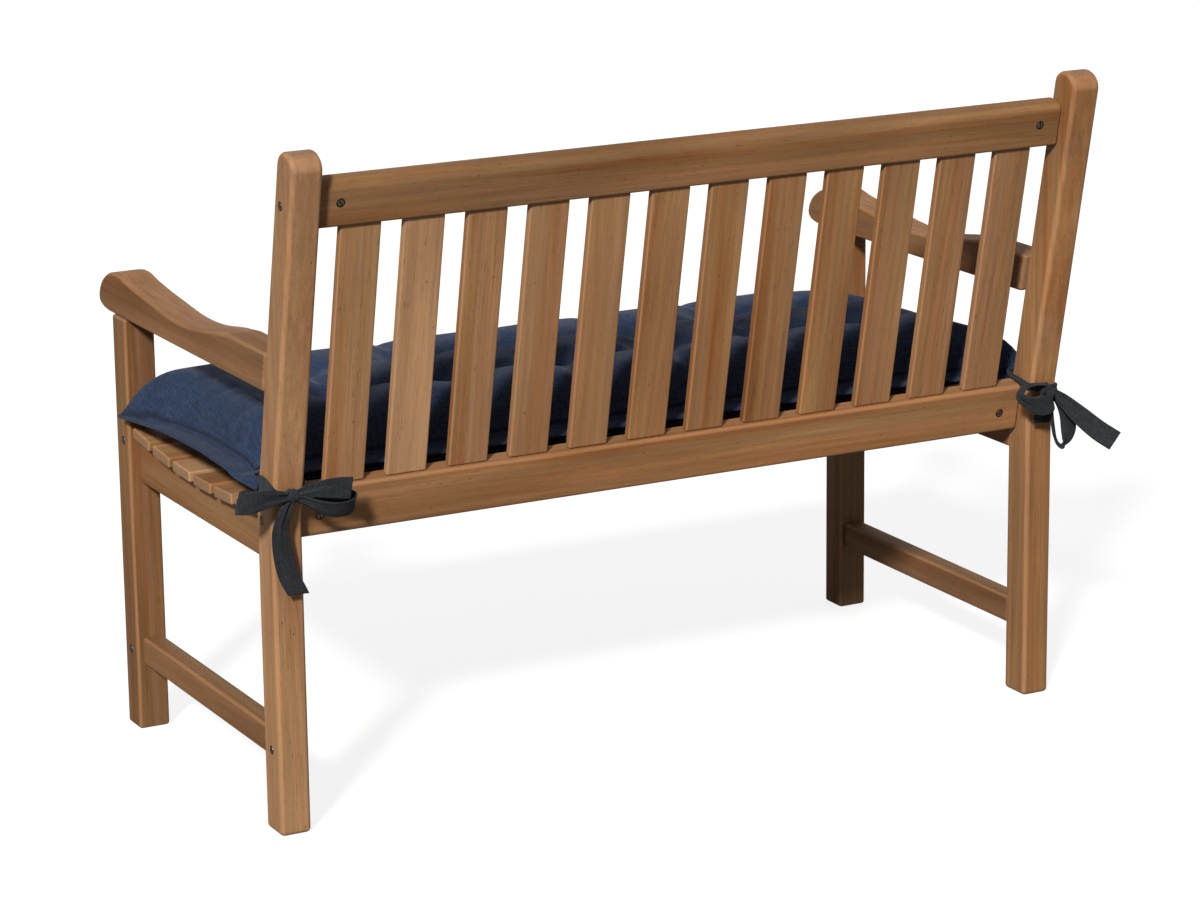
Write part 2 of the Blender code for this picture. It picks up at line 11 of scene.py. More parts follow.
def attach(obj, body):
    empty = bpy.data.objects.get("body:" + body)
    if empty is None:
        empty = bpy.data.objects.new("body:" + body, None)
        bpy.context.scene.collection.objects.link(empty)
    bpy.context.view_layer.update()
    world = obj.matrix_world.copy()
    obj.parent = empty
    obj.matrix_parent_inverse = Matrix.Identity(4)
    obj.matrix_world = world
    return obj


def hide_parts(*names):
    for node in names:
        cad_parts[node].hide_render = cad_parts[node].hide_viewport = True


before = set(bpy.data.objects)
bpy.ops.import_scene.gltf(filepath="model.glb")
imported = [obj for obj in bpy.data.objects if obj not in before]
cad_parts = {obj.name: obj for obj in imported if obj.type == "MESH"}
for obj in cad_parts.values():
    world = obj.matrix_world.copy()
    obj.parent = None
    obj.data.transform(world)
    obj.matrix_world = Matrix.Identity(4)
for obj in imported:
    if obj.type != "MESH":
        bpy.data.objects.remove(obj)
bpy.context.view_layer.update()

# Camera
# The bench is seen from behind its right end, from a little above the arms,
# with a long lens. The small upward shift is the photograph's own framing.
CAMERA_PLACE = (2.44997, 4.63070, 1.77551)
CAMERA_ANGLES = (152.0688, 13.8605, -0.6557)
CAMERA_LENS = 116.095
CAMERA_SENSOR = 36.0
CAMERA_SHIFT = -0.0567
view_angle, view_rise, view_roll = (math.radians(angle) for angle in CAMERA_ANGLES)
outward = math.cos(view_rise)
toward = Vector((math.sin(view_angle) * outward, -math.cos(view_angle) * outward, math.sin(view_rise)))
level = Vector((0, 0, 1)).cross(toward).normalized()
upright = toward.cross(level)
right = level * math.cos(view_roll) + upright * math.sin(view_roll)
top = upright * math.cos(view_roll) - level * math.sin(view_roll)
camera_data = bpy.data.cameras.new("camera")
camera_data.lens = CAMERA_LENS
camera_data.sensor_width = CAMERA_SENSOR
camera_data.shift_y = CAMERA_SHIFT
camera = bpy.data.objects.new("camera", camera_data)
camera_axes = Matrix((right, top, toward)).transposed().to_4x4()
camera.matrix_world = Matrix.Translation(CAMERA_PLACE) @ camera_axes
bpy.context.scene.collection.objects.link(camera)
bpy.context.scene.camera = camera


# Back posts
# Two square hardwood uprights, sawn to a bend at the seat so that the back leans,
# with tops rounded front to back and every long edge eased with a router.
BENCH_WIDTH = 1.200
GAP = 0.0003
RAKE = math.radians(12.0)
POST_WIDTH = 0.043
POST_DEPTH = 0.050
POST_FRONT_Y = 0.1945
POST_BEND_Z = 0.430
POST_LENGTH_ABOVE_BEND = 0.5015
POST_CAP_RISE = 0.020
POST_EASE = 0.0065
RING_SPACING = 0.0105
ARRIS_FACE_LIMIT = 90
half_bench = BENCH_WIDTH / 2


def plug(tree, node, sockets):
    """Puts values or other nodes' outputs on a node's sockets."""
    for key, value in sockets.items():
        socket = node.inputs[key]
        if isinstance(value, bpy.types.NodeSocket):
            tree.links.new(value, socket)
        else:
            socket.default_value = value


def add_node(tree, kind, sockets=None, **settings):
    node = tree.nodes.new(kind)
    for key, value in settings.items():
        setattr(node, key, value)
    plug(tree, node, sockets or {})
    return node


def maths(tree, operation, first, second=0.0, third=0.0):
    sockets = {0: first, 1: second, 2: third}
    return add_node(tree, "ShaderNodeMath", sockets, operation=operation).outputs[0]


def noise(tree, vector, scale, detail=2.0, roughness=0.5):
    sockets = {"Vector": vector, "Scale": scale, "Detail": detail, "Roughness": roughness}
    return add_node(tree, "ShaderNodeTexNoise", sockets).outputs[0]


def remap(tree, value, low, high, to_low=0.0, to_high=1.0):
    sockets = {0: value, 1: low, 2: high, 3: to_low, 4: to_high}
    return add_node(tree, "ShaderNodeMapRange", sockets).outputs[0]


def blend_colour(tree, share, first, second, blend_type="MIX"):
    first, second = ((*ink, 1.0) if isinstance(ink, tuple) else ink for ink in (first, second))
    sockets = {0: share, 6: first, 7: second}
    settings = {"data_type": "RGBA", "blend_type": blend_type}
    return add_node(tree, "ShaderNodeMix", sockets, **settings).outputs[2]


def product(tree, value, *others):
    for other in others:
        value = maths(tree, "MULTIPLY", value, other)
    return value


def scaled(tree, vector, scale):
    return add_node(tree, "ShaderNodeVectorMath", {0: vector, 1: scale}, operation="MULTIPLY").outputs[0]


def bumped(tree, strength, distance, height, **sockets):
    sockets.update({"Strength": strength, "Distance": distance, "Height": height})
    return add_node(tree, "ShaderNodeBump", sockets).outputs[0]


def own_number(tree, name):
    """The number that each point of the mesh carries under a name."""
    return add_node(tree, "ShaderNodeAttribute", attribute_name=name).outputs["Fac"]


def new_material(name):
    """A new material, its node tree, and the shader that the tree ends in."""
    material = bpy.data.materials.new(name)
    material.use_nodes = True
    return material, material.node_tree, material.node_tree.nodes["Principled BSDF"]


def sawn_teak(name, along, tilt=0.0):
    """Solid wood with its rings round a pith, so faces, edges and ends show the right figure.

    The attribute board picks where in the log a board was sawn, tone goes from dark and red to
    pale, and arris marks its eased edges.
    """
    material, tree, shader = new_material(name)
    place = add_node(tree, "ShaderNodeTexCoord").outputs["Object"]
    turned = add_node(tree, "ShaderNodeMapping", {"Vector": place, "Rotation": (tilt, 0.0, 0.0)})
    axes = add_node(tree, "ShaderNodeSeparateXYZ", {0: turned.outputs[0]}).outputs
    first, second, length = {"X": (1, 2, 0), "Y": (0, 2, 1), "Z": (0, 1, 2)}[along]
    board, arris, tone = (own_number(tree, carried) for carried in ("board", "arris", "tone"))
    chance = add_node(tree, "ShaderNodeTexWhiteNoise", {"W": board}, noise_dimensions="1D")
    picks = add_node(tree, "ShaderNodeSeparateColor", {0: chance.outputs["Color"]}).outputs

    run = maths(tree, "MULTIPLY_ADD", picks[0], 7.0, axes[length])
    lean = maths(tree, "MULTIPLY_ADD", picks[2], 0.036, -0.018)
    side = maths(tree, "MULTIPLY_ADD", axes[length], lean, axes[first])
    side = maths(tree, "ADD", side, maths(tree, "MULTIPLY_ADD", picks[1], 0.16, -0.08))
    depth = maths(tree, "ADD", axes[second], maths(tree, "MULTIPLY_ADD", picks[0], 0.09, 0.035))
    log = add_node(tree, "ShaderNodeCombineXYZ", {0: side, 1: depth, 2: run}).outputs[0]

    def figure(across, lengthwise, detail=2.0, roughness=0.5):
        """Noise with its own scale across and along the log."""
        return noise(tree, scaled(tree, log, (across, across, lengthwise)), 1.0, detail, roughness)

    flat = scaled(tree, log, (1, 1, 0))
    radius = add_node(tree, "ShaderNodeVectorMath", {0: flat}, operation="LENGTH").outputs["Value"]
    radius = maths(tree, "MULTIPLY_ADD", figure(6.0, 1.3, 3.0), 0.055, radius)
    rings = remap(tree, maths(tree, "SINE", product(tree, radius, 2 * math.pi / RING_SPACING)), 0.0, 1.0)
    patches = remap(tree, figure(24.0, 1.6, 3.0), 0.36, 0.64)
    bands = remap(tree, figure(48.0, 1.1), 0.44, 0.66)
    blush = remap(tree, figure(36.0, 0.8), 0.50, 0.68)
    broad = figure(9.0, 2.6)
    streaks = figure(150.0, 3.0, 4.0, 0.6)
    fibres = figure(520.0, 11.0, 4.0, 0.65)
    pores = remap(tree, figure(1050.0, 48.0, 1.0), 0.66, 0.74)
    sockets = {"Vector": scaled(tree, log, (60.0, 60.0, 28.0)), "Scale": 1.0}
    specks = remap(tree, add_node(tree, "ShaderNodeTexVoronoi", sockets).outputs["Distance"], 0.075, 0.03)

    colour = blend_colour(tree, patches, (0.360, 0.182, 0.070), (0.255, 0.092, 0.023))
    stains = (
        (product(tree, bands, 0.60), (0.275, 0.168, 0.078)),
        (product(tree, blush, 0.45), (0.400, 0.190, 0.100)),
        (product(tree, rings, 0.16), (0.165, 0.062, 0.016)),
        (remap(tree, tone, 0.55, 1.0, 0.0, 0.6), (0.330, 0.205, 0.115)),
    )
    for share, stain in stains:
        colour = blend_colour(tree, share, colour, stain)
    shade = product(
        tree,
        remap(tree, streaks, 0.28, 0.72, 0.82, 1.14),
        remap(tree, fibres, 0.25, 0.75, 0.84, 1.13),
        remap(tree, tone, 0.0, 1.0, 0.62, 1.25),
        remap(tree, broad, 0.34, 0.66, 0.82, 1.14),
        remap(tree, pores, 0.0, 1.0, 1.0, 0.52),
        remap(tree, specks, 0.0, 1.0, 1.0, 0.40),
    )
    greys = add_node(tree, "ShaderNodeCombineColor", {0: shade, 1: shade, 2: shade}).outputs[0]
    colour = blend_colour(tree, 1.0, colour, greys, "MULTIPLY")
    # The eased edges are drawn paler and pinker, more along some streaks than others.
    paler_edges = product(tree, arris, remap(tree, streaks, 0.3, 0.7, 0.10, 0.50))
    colour = blend_colour(tree, paler_edges, colour, (0.420, 0.215, 0.105))

    facing = add_node(tree, "ShaderNodeNewGeometry").outputs["Normal"]
    ends = add_node(tree, "ShaderNodeSeparateXYZ", {0: facing}).outputs[length]
    ends = remap(tree, maths(tree, "ABSOLUTE", ends), 0.72, 0.93)
    speckle = remap(tree, figure(900.0, 900.0, 2.0, 0.7), 0.4, 0.62)
    end_wood = blend_colour(tree, speckle, (0.13, 0.070, 0.034), (0.36, 0.225, 0.130))
    colour = blend_colour(tree, product(tree, ends, 0.75), colour, end_wood)
    relief = maths(tree, "MULTIPLY_ADD", pores, -0.6, fibres)
    relief = maths(tree, "MULTIPLY_ADD", specks, -1.0, relief)
    roughness = remap(tree, fibres, 0.3, 0.7, 0.50, 0.68)
    normal = bumped(tree, 0.35, 0.0006, relief)
    finish = {"Base Color": colour, "Roughness": roughness, "Specular IOR Level": 0.32, "Normal": normal}
    plug(tree, shader, finish)
    return material


def new_piece(name, data):
    piece = bpy.data.objects.new(name, data)
    bpy.context.scene.collection.objects.link(piece)
    return piece


def piece_of(name, work):
    """Makes a piece of what was built in work."""
    mesh = bpy.data.meshes.new(name)
    work.to_mesh(mesh)
    work.free()
    return new_piece(name, mesh)


def mark(mesh, name, values):
    """Stores one number for each vertex under a name that the materials read."""
    layer = mesh.attributes.new(name, "FLOAT", "POINT")
    layer.data.foreach_set("value", np.asarray(values, np.float32))


def cut_board(name, outline, x_low, x_high, ease, board, tone=0.5, steps=4):
    """A board cut to an outline in Y and Z, from x_low to x_high, with its edges rounded over.

    Its vertices on the rounded edges alone, where all faces are small, are marked as arris.
    """
    work = bmesh.new()
    face = work.faces.new([work.verts.new((x_low, y, z)) for y, z in outline])
    grown = bmesh.ops.extrude_face_region(work, geom=[face])
    moved = [v for v in grown["geom"] if isinstance(v, bmesh.types.BMVert)]
    bmesh.ops.translate(work, verts=moved, vec=(x_high - x_low, 0, 0))
    bmesh.ops.recalc_face_normals(work, faces=work.faces)
    sharp = [e for e in work.edges if e.calc_face_angle(0) > math.radians(50)]
    bmesh.ops.bevel(
        work, geom=sharp, offset=ease, segments=steps, profile=0.5, affect="EDGES", clamp_overlap=True
    )
    for polygon in work.faces:
        polygon.smooth = True
    piece = piece_of(name, work)
    mesh = piece.data
    largest = np.zeros(len(mesh.vertices))
    for polygon in mesh.polygons:
        for index in polygon.vertices:
            largest[index] = max(largest[index], polygon.area)
    mark(mesh, "arris", largest < ARRIS_FACE_LIMIT * ease * ease)
    mark(mesh, "board", [board] * len(mesh.vertices))
    mark(mesh, "tone", [tone] * len(mesh.vertices))
    return piece


def settle(piece):
    """Makes what the modifiers give the piece's own plain mesh."""
    graph = bpy.context.evaluated_depsgraph_get()
    evaluated = piece.evaluated_get(graph)
    mesh = bpy.data.meshes.new_from_object(evaluated, preserve_all_data_layers=True, depsgraph=graph)
    piece.modifiers.clear()
    piece.data = mesh


def finish_wood(piece, material, *nodes):
    """Evens out the shading over the rounded edges, and sets the piece in place of its solids."""
    piece.data.materials.clear()
    piece.data.materials.append(material)
    even = piece.modifiers.new("Even shading", "WEIGHTED_NORMAL")
    even.mode = "FACE_AREA"
    even.weight = 80
    settle(piece)
    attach(piece, "root")
    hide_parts(*nodes)


def cut_pair(name, node, outline, outer_x, width, ease, wood, right, left, steps=4):
    """The same board at both ends of the bench. Right and left hold its place in the log and tone."""
    for side, sign, (board, tone) in (("right", 1, right), ("left", -1, left)):
        span = sorted((sign * (outer_x - width), sign * outer_x))
        piece = cut_board(f"{name}_{side}", outline, *span, ease, board, tone, steps)
        finish_wood(piece, wood, f"{node}_{side}")


def raked(along, behind):
    """Y and Z of a point so far up the raked back, and so far behind its front plane."""
    y = POST_FRONT_Y + along * math.sin(RAKE) + behind * math.cos(RAKE)
    z = POST_BEND_Z + along * math.cos(RAKE) - behind * math.sin(RAKE)
    return y, z


upright_teak = sawn_teak("upright_teak", "Z")
post_back_y = POST_FRONT_Y + POST_DEPTH
post_shape = [(post_back_y, 0.0), (post_back_y, POST_BEND_Z - POST_DEPTH * math.tan(RAKE / 2))]
for step in range(17):
    turn = math.pi * step / 16
    up = POST_LENGTH_ABOVE_BEND - POST_CAP_RISE + POST_CAP_RISE * math.sin(turn)
    post_shape.append(raked(up, POST_DEPTH / 2 * (1 + math.cos(turn))))
post_shape += [(POST_FRONT_Y, POST_BEND_Z), (POST_FRONT_Y, 0.0)]
boards = ((1.3, 0.78), (2.7, 0.54))
cut_pair("back_post", "post", post_shape, half_bench, POST_WIDTH, POST_EASE, upright_teak, *boards)


# Front legs
# Square legs that run up under the arms, which hide the tenons.
LEG_FRONT_Y = -0.2985
LEG_SIDE = 0.045
LEG_EASE = 0.0045
ARM_UNDERSIDE_Z = 0.593
leg_back_y = LEG_FRONT_Y + LEG_SIDE
leg_top_z = ARM_UNDERSIDE_Z - GAP
leg_shape = [(LEG_FRONT_Y, 0.0), (LEG_FRONT_Y, leg_top_z), (leg_back_y, leg_top_z), (leg_back_y, 0.0)]
boards = ((4.1, 0.05), (5.2, 0.15))
cut_pair("front_leg", "leg", leg_shape, half_bench, LEG_SIDE, LEG_EASE, upright_teak, *boards)


# Arms
# Each arm is bandsawn from one board: a scrolled nose over the front leg, a dip for the elbow,
# and a rear end cut to the lean of the post it is screwed to.
ARM_WIDTH = 0.049
ARM_EASE = 0.0050
ARM_NOSE_AND_TOP = (
    (-0.311, 0.5930), (-0.331, 0.5955),
    (-0.344, 0.6015), (-0.347, 0.6116),
    (-0.341, 0.6258), (-0.329, 0.6378),
    (-0.306, 0.6490), (-0.272, 0.6530),
    (-0.235, 0.6465), (-0.185, 0.6400),
    (-0.135, 0.6348), (-0.085, 0.6300),
    (-0.038, 0.6290), (0.010, 0.6322),
    (0.065, 0.6405), (0.120, 0.6462),
)


def smooth_line(points, steps):
    """Points along a smooth curve through the given ones, ends included."""
    known = [Vector(p) for p in points]
    known = [known[0] * 2 - known[1], *known, known[-1] * 2 - known[-2]]
    found = []
    for a, b, c, d in zip(known, known[1:], known[2:], known[3:]):
        for step in range(steps):
            t = step / steps
            square = (a * 2 - b * 5 + c * 4 - d) * (t * t)
            cube = (b * 3 - a - c * 3 + d) * (t * t * t)
            found.append((b * 2 + (c - a) * t + square + cube) / 2)
    return found + [known[-2]]


def post_front_y(z):
    return POST_FRONT_Y + max(0.0, z - POST_BEND_Z) * math.tan(RAKE)


lengthwise_teak = sawn_teak("lengthwise_teak", "Y")
arm_shape = [tuple(p.xy) for p in smooth_line([(y, z, 0) for y, z in ARM_NOSE_AND_TOP], 3)]
for z in (ARM_NOSE_AND_TOP[-1][1], ARM_UNDERSIDE_Z):
    arm_shape.append((post_front_y(z) - 1.1 * GAP, z))
boards = ((6.6, 0.14), (7.9, 0.14))
cut_pair("armrest", "arm", arm_shape, half_bench, ARM_WIDTH, ARM_EASE, lengthwise_teak, *boards)


# Back rails
# The two long rails that the back slats are mortised into, flush with the posts' front.
# The top rail's upper edge behind is rounded over broadly.
RAIL_INSET = 0.0005
RAIL_THICKNESS = 0.030
RAIL_EASE = 0.0055
TOP_RAIL = (0.3967, 0.4588)
TOP_RAIL_ROUND = 0.014
BOTTOM_RAIL = (-0.0344, 0.0346)
rail_back = RAIL_INSET + RAIL_THICKNESS


def raked_section(span, inset, thickness):
    low, high = span
    corners = ((low, inset), (high, inset), (high, inset + thickness), (low, inset + thickness))
    return [raked(*corner) for corner in corners]


cross_teak = sawn_teak("cross_teak", "X")
rail_end = half_bench - POST_WIDTH - GAP
top_section, bottom_section = (
    raked_section(span, RAIL_INSET, RAIL_THICKNESS) for span in (TOP_RAIL, BOTTOM_RAIL)
)
rounded = []
for step in range(7):
    turn = math.pi / 2 * (1 - step / 6)
    up = TOP_RAIL[1] - TOP_RAIL_ROUND * (1 - math.sin(turn))
    rounded.append(raked(up, rail_back - TOP_RAIL_ROUND * (1 - math.cos(turn))))
top_section[2:3] = rounded
rails = (("top_rail", top_section, 11.4, 0.24), ("bottom_rail", bottom_section, 12.9, 0.46))
for name, section, board, tone in rails:
    rail = cut_board(f"back_{name}", section, -rail_end, rail_end, RAIL_EASE, board, tone)
    finish_wood(rail, cross_teak, name)


# Back slats
# Twelve thin upright slats, all alike, evenly spaced between the two rails.
BACK_SLATS = 12
BACK_SLAT_WIDTH = 0.057
BACK_SLAT_PITCH = 0.0889
BACK_SLAT_THICKNESS = 0.012
BACK_SLAT_INSET = 0.0121
BACK_SLAT_EASE = 0.0028
SLAT_TONES = (0.34, 0.95)


def new_tree(name, inputs):
    """A new tree with its named inputs: the tree, what is given to it, and the node of its result."""
    tree = bpy.data.node_groups.new(name, "GeometryNodeTree")
    tree.interface.new_socket("Geometry", in_out="INPUT", socket_type="NodeSocketGeometry")
    for label, kind, value in inputs:
        socket = tree.interface.new_socket(label, in_out="INPUT", socket_type=f"NodeSocket{kind}")
        if value is not None:
            socket.default_value = value
    tree.interface.new_socket("Geometry", in_out="OUTPUT", socket_type="NodeSocketGeometry")
    return tree, tree.nodes.new("NodeGroupInput").outputs, tree.nodes.new("NodeGroupOutput")


def grow(piece, tree, values):
    """Runs a tree on a piece, with its inputs set by their names, and keeps the result."""
    modifier = piece.modifiers.new(tree.name, "NODES")
    modifier.node_group = tree
    for item in tree.interface.items_tree:
        if item.in_out == "INPUT" and item.name in values:
            modifier[item.identifier] = values[item.name]
    piece.update_tag()
    settle(piece)


def copies_on(tree, points, part, rotation):
    sockets = {"Points": points, "Instance": part, "Rotation": rotation}
    return add_node(tree, "GeometryNodeInstanceOnPoints", sockets).outputs[0]


def finish_copies(tree, copies, material, result):
    """Makes the copies one real mesh in its material, which is what the tree gives."""
    real = add_node(tree, "GeometryNodeRealizeInstances", {"Geometry": copies})
    sockets = {"Geometry": real.outputs[0], "Material": material}
    finished = add_node(tree, "GeometryNodeSetMaterial", sockets)
    tree.links.new(finished.outputs[0], result.inputs[0])
    return tree


def row_of_boards():
    """Sets copies of one board in a row that may dip, each sawn from its own part of the log."""
    inputs = (
        ("Count", "Int", 12),
        ("Pitch", "Vector", (0.09, 0.0, 0.0)),
        ("First", "Vector", (0.0, 0.0, 0.0)),
        ("Dip", "Float", 0.0),
        ("Low Y", "Float", 0.0),
        ("Board", "Float", 0.0),
        ("Tone Seed", "Int", 0),
        ("Wood", "Material", None),
    )
    tree, given, result = new_tree("row_of_boards", inputs)
    sockets = {"Count": given["Count"], "Start Location": given["First"], "Offset": given["Pitch"]}
    line = add_node(tree, "GeometryNodeMeshLine", sockets, mode="OFFSET")
    spot = add_node(tree, "GeometryNodeInputPosition").outputs[0]
    across = add_node(tree, "ShaderNodeSeparateXYZ", {0: spot}).outputs[1]
    off = maths(tree, "SUBTRACT", across, given["Low Y"])
    lift = add_node(tree, "ShaderNodeCombineXYZ", {2: product(tree, off, off, given["Dip"])}).outputs[0]
    slope = maths(tree, "ARCTANGENT", product(tree, off, 2.0, given["Dip"]))
    turn = add_node(tree, "ShaderNodeCombineXYZ", {0: slope}).outputs[0]
    lean = add_node(tree, "FunctionNodeEulerToRotation", {0: turn}).outputs[0]
    kept = add_node(tree, "GeometryNodeCaptureAttribute", {"Geometry": line.outputs[0]})
    kept.capture_items.new("ROTATION", "Lean")
    tree.links.new(lean, kept.inputs["Lean"])
    sockets = {"Geometry": kept.outputs["Geometry"], "Offset": lift}
    raised = add_node(tree, "GeometryNodeSetPosition", sockets).outputs[0]
    boards = copies_on(tree, raised, given["Geometry"], kept.outputs["Lean"])
    order = add_node(tree, "GeometryNodeInputIndex").outputs[0]
    number = maths(tree, "MULTIPLY_ADD", order, 1.37, given["Board"])
    sockets = {2: SLAT_TONES[0], 3: SLAT_TONES[1], "ID": order, "Seed": given["Tone Seed"]}
    tones = add_node(tree, "FunctionNodeRandomValue", sockets, data_type="FLOAT")
    stored = {"domain": "INSTANCE", "data_type": "FLOAT"}
    for label, value in (("board", number), ("tone", tones.outputs[1])):
        sockets = {"Geometry": boards, "Name": label, "Value": value}
        boards = add_node(tree, "GeometryNodeStoreNamedAttribute", sockets, **stored).outputs[0]
    return finish_copies(tree, boards, given["Wood"], result)


board_row = row_of_boards()


def lay_row(name, section, reach, ease, wood, nodes, values):
    """Cuts one board, lays its copies in a row and sets them in place of their solids."""
    boards = cut_board(name, section, -reach, reach, ease, 0.0, steps=3)
    for given in ("board", "tone"):
        boards.data.attributes.remove(boards.data.attributes[given])
    grow(boards, board_row, {**values, "Wood": wood})
    finish_wood(boards, wood, *nodes)


slat_section = raked_section((BOTTOM_RAIL[1] + GAP, TOP_RAIL[0] - GAP), BACK_SLAT_INSET, BACK_SLAT_THICKNESS)
leaning_teak = sawn_teak("leaning_teak", "Z", RAKE)
values = {
    "Count": BACK_SLATS,
    "Pitch": (BACK_SLAT_PITCH, 0.0, 0.0),
    "First": (-(BACK_SLATS - 1) / 2 * BACK_SLAT_PITCH, 0.0, 0.0),
    "Board": 21.0,
    "Tone Seed": 302,
}
nodes = [f"back_slat_{number:02d}" for number in range(1, BACK_SLATS + 1)]
lay_row("back_slats", slat_section, BACK_SLAT_WIDTH / 2, BACK_SLAT_EASE, leaning_teak, nodes, values)


# Seat slats
# Seven slats screwed down across the rails in a shallow dip. The front one fits between the legs.
SEAT_SLATS = 6
SEAT_SLAT_WIDTH = 0.0585
SEAT_SLAT_THICKNESS = 0.0155
SEAT_SLAT_PITCH = 0.0720
SEAT_FIRST_Y = -0.2075
SEAT_LOW_Y = -0.007
SEAT_LOW_Z = 0.4275
SEAT_DIP = 0.306
SEAT_SLAT_EASE = 0.0030


def seat_z(y):
    return SEAT_LOW_Z + SEAT_DIP * (y - SEAT_LOW_Y) ** 2


half_width = SEAT_SLAT_WIDTH / 2
level_section = [
    (-half_width, 0.0),
    (half_width, 0.0),
    (half_width, -SEAT_SLAT_THICKNESS),
    (-half_width, -SEAT_SLAT_THICKNESS),
]
slat_groups = (
    ("seat_slats", half_bench, SEAT_SLATS, SEAT_FIRST_Y, 41.0, range(2, SEAT_SLATS + 2)),
    ("front_seat_slat", half_bench - LEG_SIDE - GAP, 1, SEAT_FIRST_Y - SEAT_SLAT_PITCH, 51.0, (1,)),
)
for name, reach, count, first_y, board, numbers in slat_groups:
    values = {
        "Count": count,
        "Pitch": (0.0, SEAT_SLAT_PITCH, 0.0),
        "First": (0.0, first_y, SEAT_LOW_Z),
        "Dip": SEAT_DIP,
        "Low Y": SEAT_LOW_Y,
        "Board": board,
        "Tone Seed": 8,
    }
    nodes = [f"seat_slat_{number}" for number in numbers]
    lay_row(name, level_section, reach, SEAT_SLAT_EASE, cross_teak, nodes, values)


# Seat frame and stretchers
# Two side rails and a front rail carry the seat slats. A stretcher ties each pair of legs low down.
SIDE_RAIL_OUTER_X = 0.584
SIDE_RAIL_THICKNESS = 0.024
SIDE_RAIL_LOWER_Z = 0.359
SEAT_RAIL_EASE = 0.0025
FRONT_RAIL_Y = (-0.290, -0.266)
FRONT_RAIL_LOWER_Z = 0.375
STRETCHER_OUTER_X = 0.5915
STRETCHER_THICKNESS = 0.030
STRETCHER_EASE = 0.0045
STRETCHER_Z = (0.096, 0.135)
between_legs = (leg_back_y + GAP, POST_FRONT_Y - GAP)


def slat_underside(centre_y):
    """Front and back lower corners of the seat slat centred there."""
    slope = math.atan(2 * SEAT_DIP * (centre_y - SEAT_LOW_Y))
    down = Vector((math.sin(slope), -math.cos(slope))) * SEAT_SLAT_THICKNESS
    across = Vector((math.cos(slope), math.sin(slope))) * half_width
    middle = Vector((centre_y, seat_z(centre_y))) + down
    return middle - across, middle + across


rail_shape = []
for index in range(SEAT_SLATS):
    for corner in slat_underside(SEAT_FIRST_Y + index * SEAT_SLAT_PITCH):
        rail_shape.append((corner.x, corner.y - GAP))
front_y, back_y = between_legs
rail_shape = [
    (front_y, SIDE_RAIL_LOWER_Z),
    (front_y, rail_shape[0][1]),
    *rail_shape,
    (back_y, rail_shape[-1][1]),
    (back_y, SIDE_RAIL_LOWER_Z),
]
side_rail_span = (SIDE_RAIL_OUTER_X, SIDE_RAIL_THICKNESS, SEAT_RAIL_EASE)
boards = ((61.3, 0.38), (63.8, 0.34))
cut_pair("seat_side_rail", "side_rail", rail_shape, *side_rail_span, lengthwise_teak, *boards, steps=3)

low_z, high_z = STRETCHER_Z
stretcher_shape = [(front_y, low_z), (front_y, high_z), (back_y, high_z), (back_y, low_z)]
stretcher_span = (STRETCHER_OUTER_X, STRETCHER_THICKNESS, STRETCHER_EASE)
boards = ((62.3, 0.08), (64.8, 0.04))
cut_pair("low_stretcher", "stretcher", stretcher_shape, *stretcher_span, lengthwise_teak, *boards)

front_low, front_high = slat_underside(SEAT_FIRST_Y - SEAT_SLAT_PITCH)
slope = (front_high.y - front_low.y) / (front_high.x - front_low.x)
front_shape = [(FRONT_RAIL_Y[0], FRONT_RAIL_LOWER_Z)]
front_shape += [(y, front_low.y + slope * (y - front_low.x) - GAP) for y in FRONT_RAIL_Y]
front_shape.append((FRONT_RAIL_Y[1], FRONT_RAIL_LOWER_Z))
reach = half_bench - LEG_SIDE - GAP
front_rail = cut_board("seat_front_rail", front_shape, -reach, reach, SEAT_RAIL_EASE, 66.0, steps=3)
finish_wood(front_rail, cross_teak, "front_rail")


# Screws
# Slotted steel screws pin the tenons, each turned its own way, in the posts and legs from outside and in
# the two rails from behind. A flat disc under each head is painted near-black: painted shade of its shallow
# recess.
SCREW_RADIUS = 0.0047
SCREW_SLOT = 0.0014
SCREW_DOME = ((1.0, 0.00005), (0.97, 0.00035), (0.7, 0.00060), (0.35, 0.00070))
SCREW_STEPS = 14
SHADE_DISC_RADIUS = 0.0061
SHADE_DISC_HEIGHT = 0.00004
SHADE_DISC_STEPS = 28
SIDE_SCREWS = ((0.3036, 0.8462), (0.2117, 0.4205), (0.2200, 0.1130), (-0.2730, 0.4172), (-0.2760, 0.1130))
RAIL_SCREWS = ((0.5225, 0.4300), (0.5235, -0.0045))


def worn_steel_and_recess_shade():
    """Steel gone dull and brown outdoors, with the marked disc under each head painted near-black as the
    shade in the wood's recess.
    """
    material, tree, shader = new_material("worn_steel_and_recess_shade")
    place = add_node(tree, "ShaderNodeTexCoord").outputs["Object"]
    worn = remap(tree, noise(tree, place, 900.0, 3.0, 0.6), 0.3, 0.7)
    colour = blend_colour(tree, worn, (0.10, 0.085, 0.07), (0.34, 0.30, 0.25))
    # Painted shade: where the flat disc under the head is marked, the colour goes near-black.
    colour = blend_colour(tree, own_number(tree, "recess_shade"), colour, (0.020, 0.013, 0.008))
    plug(tree, shader, {"Base Color": colour, "Metallic": 1.0, "Roughness": 0.42})
    return material


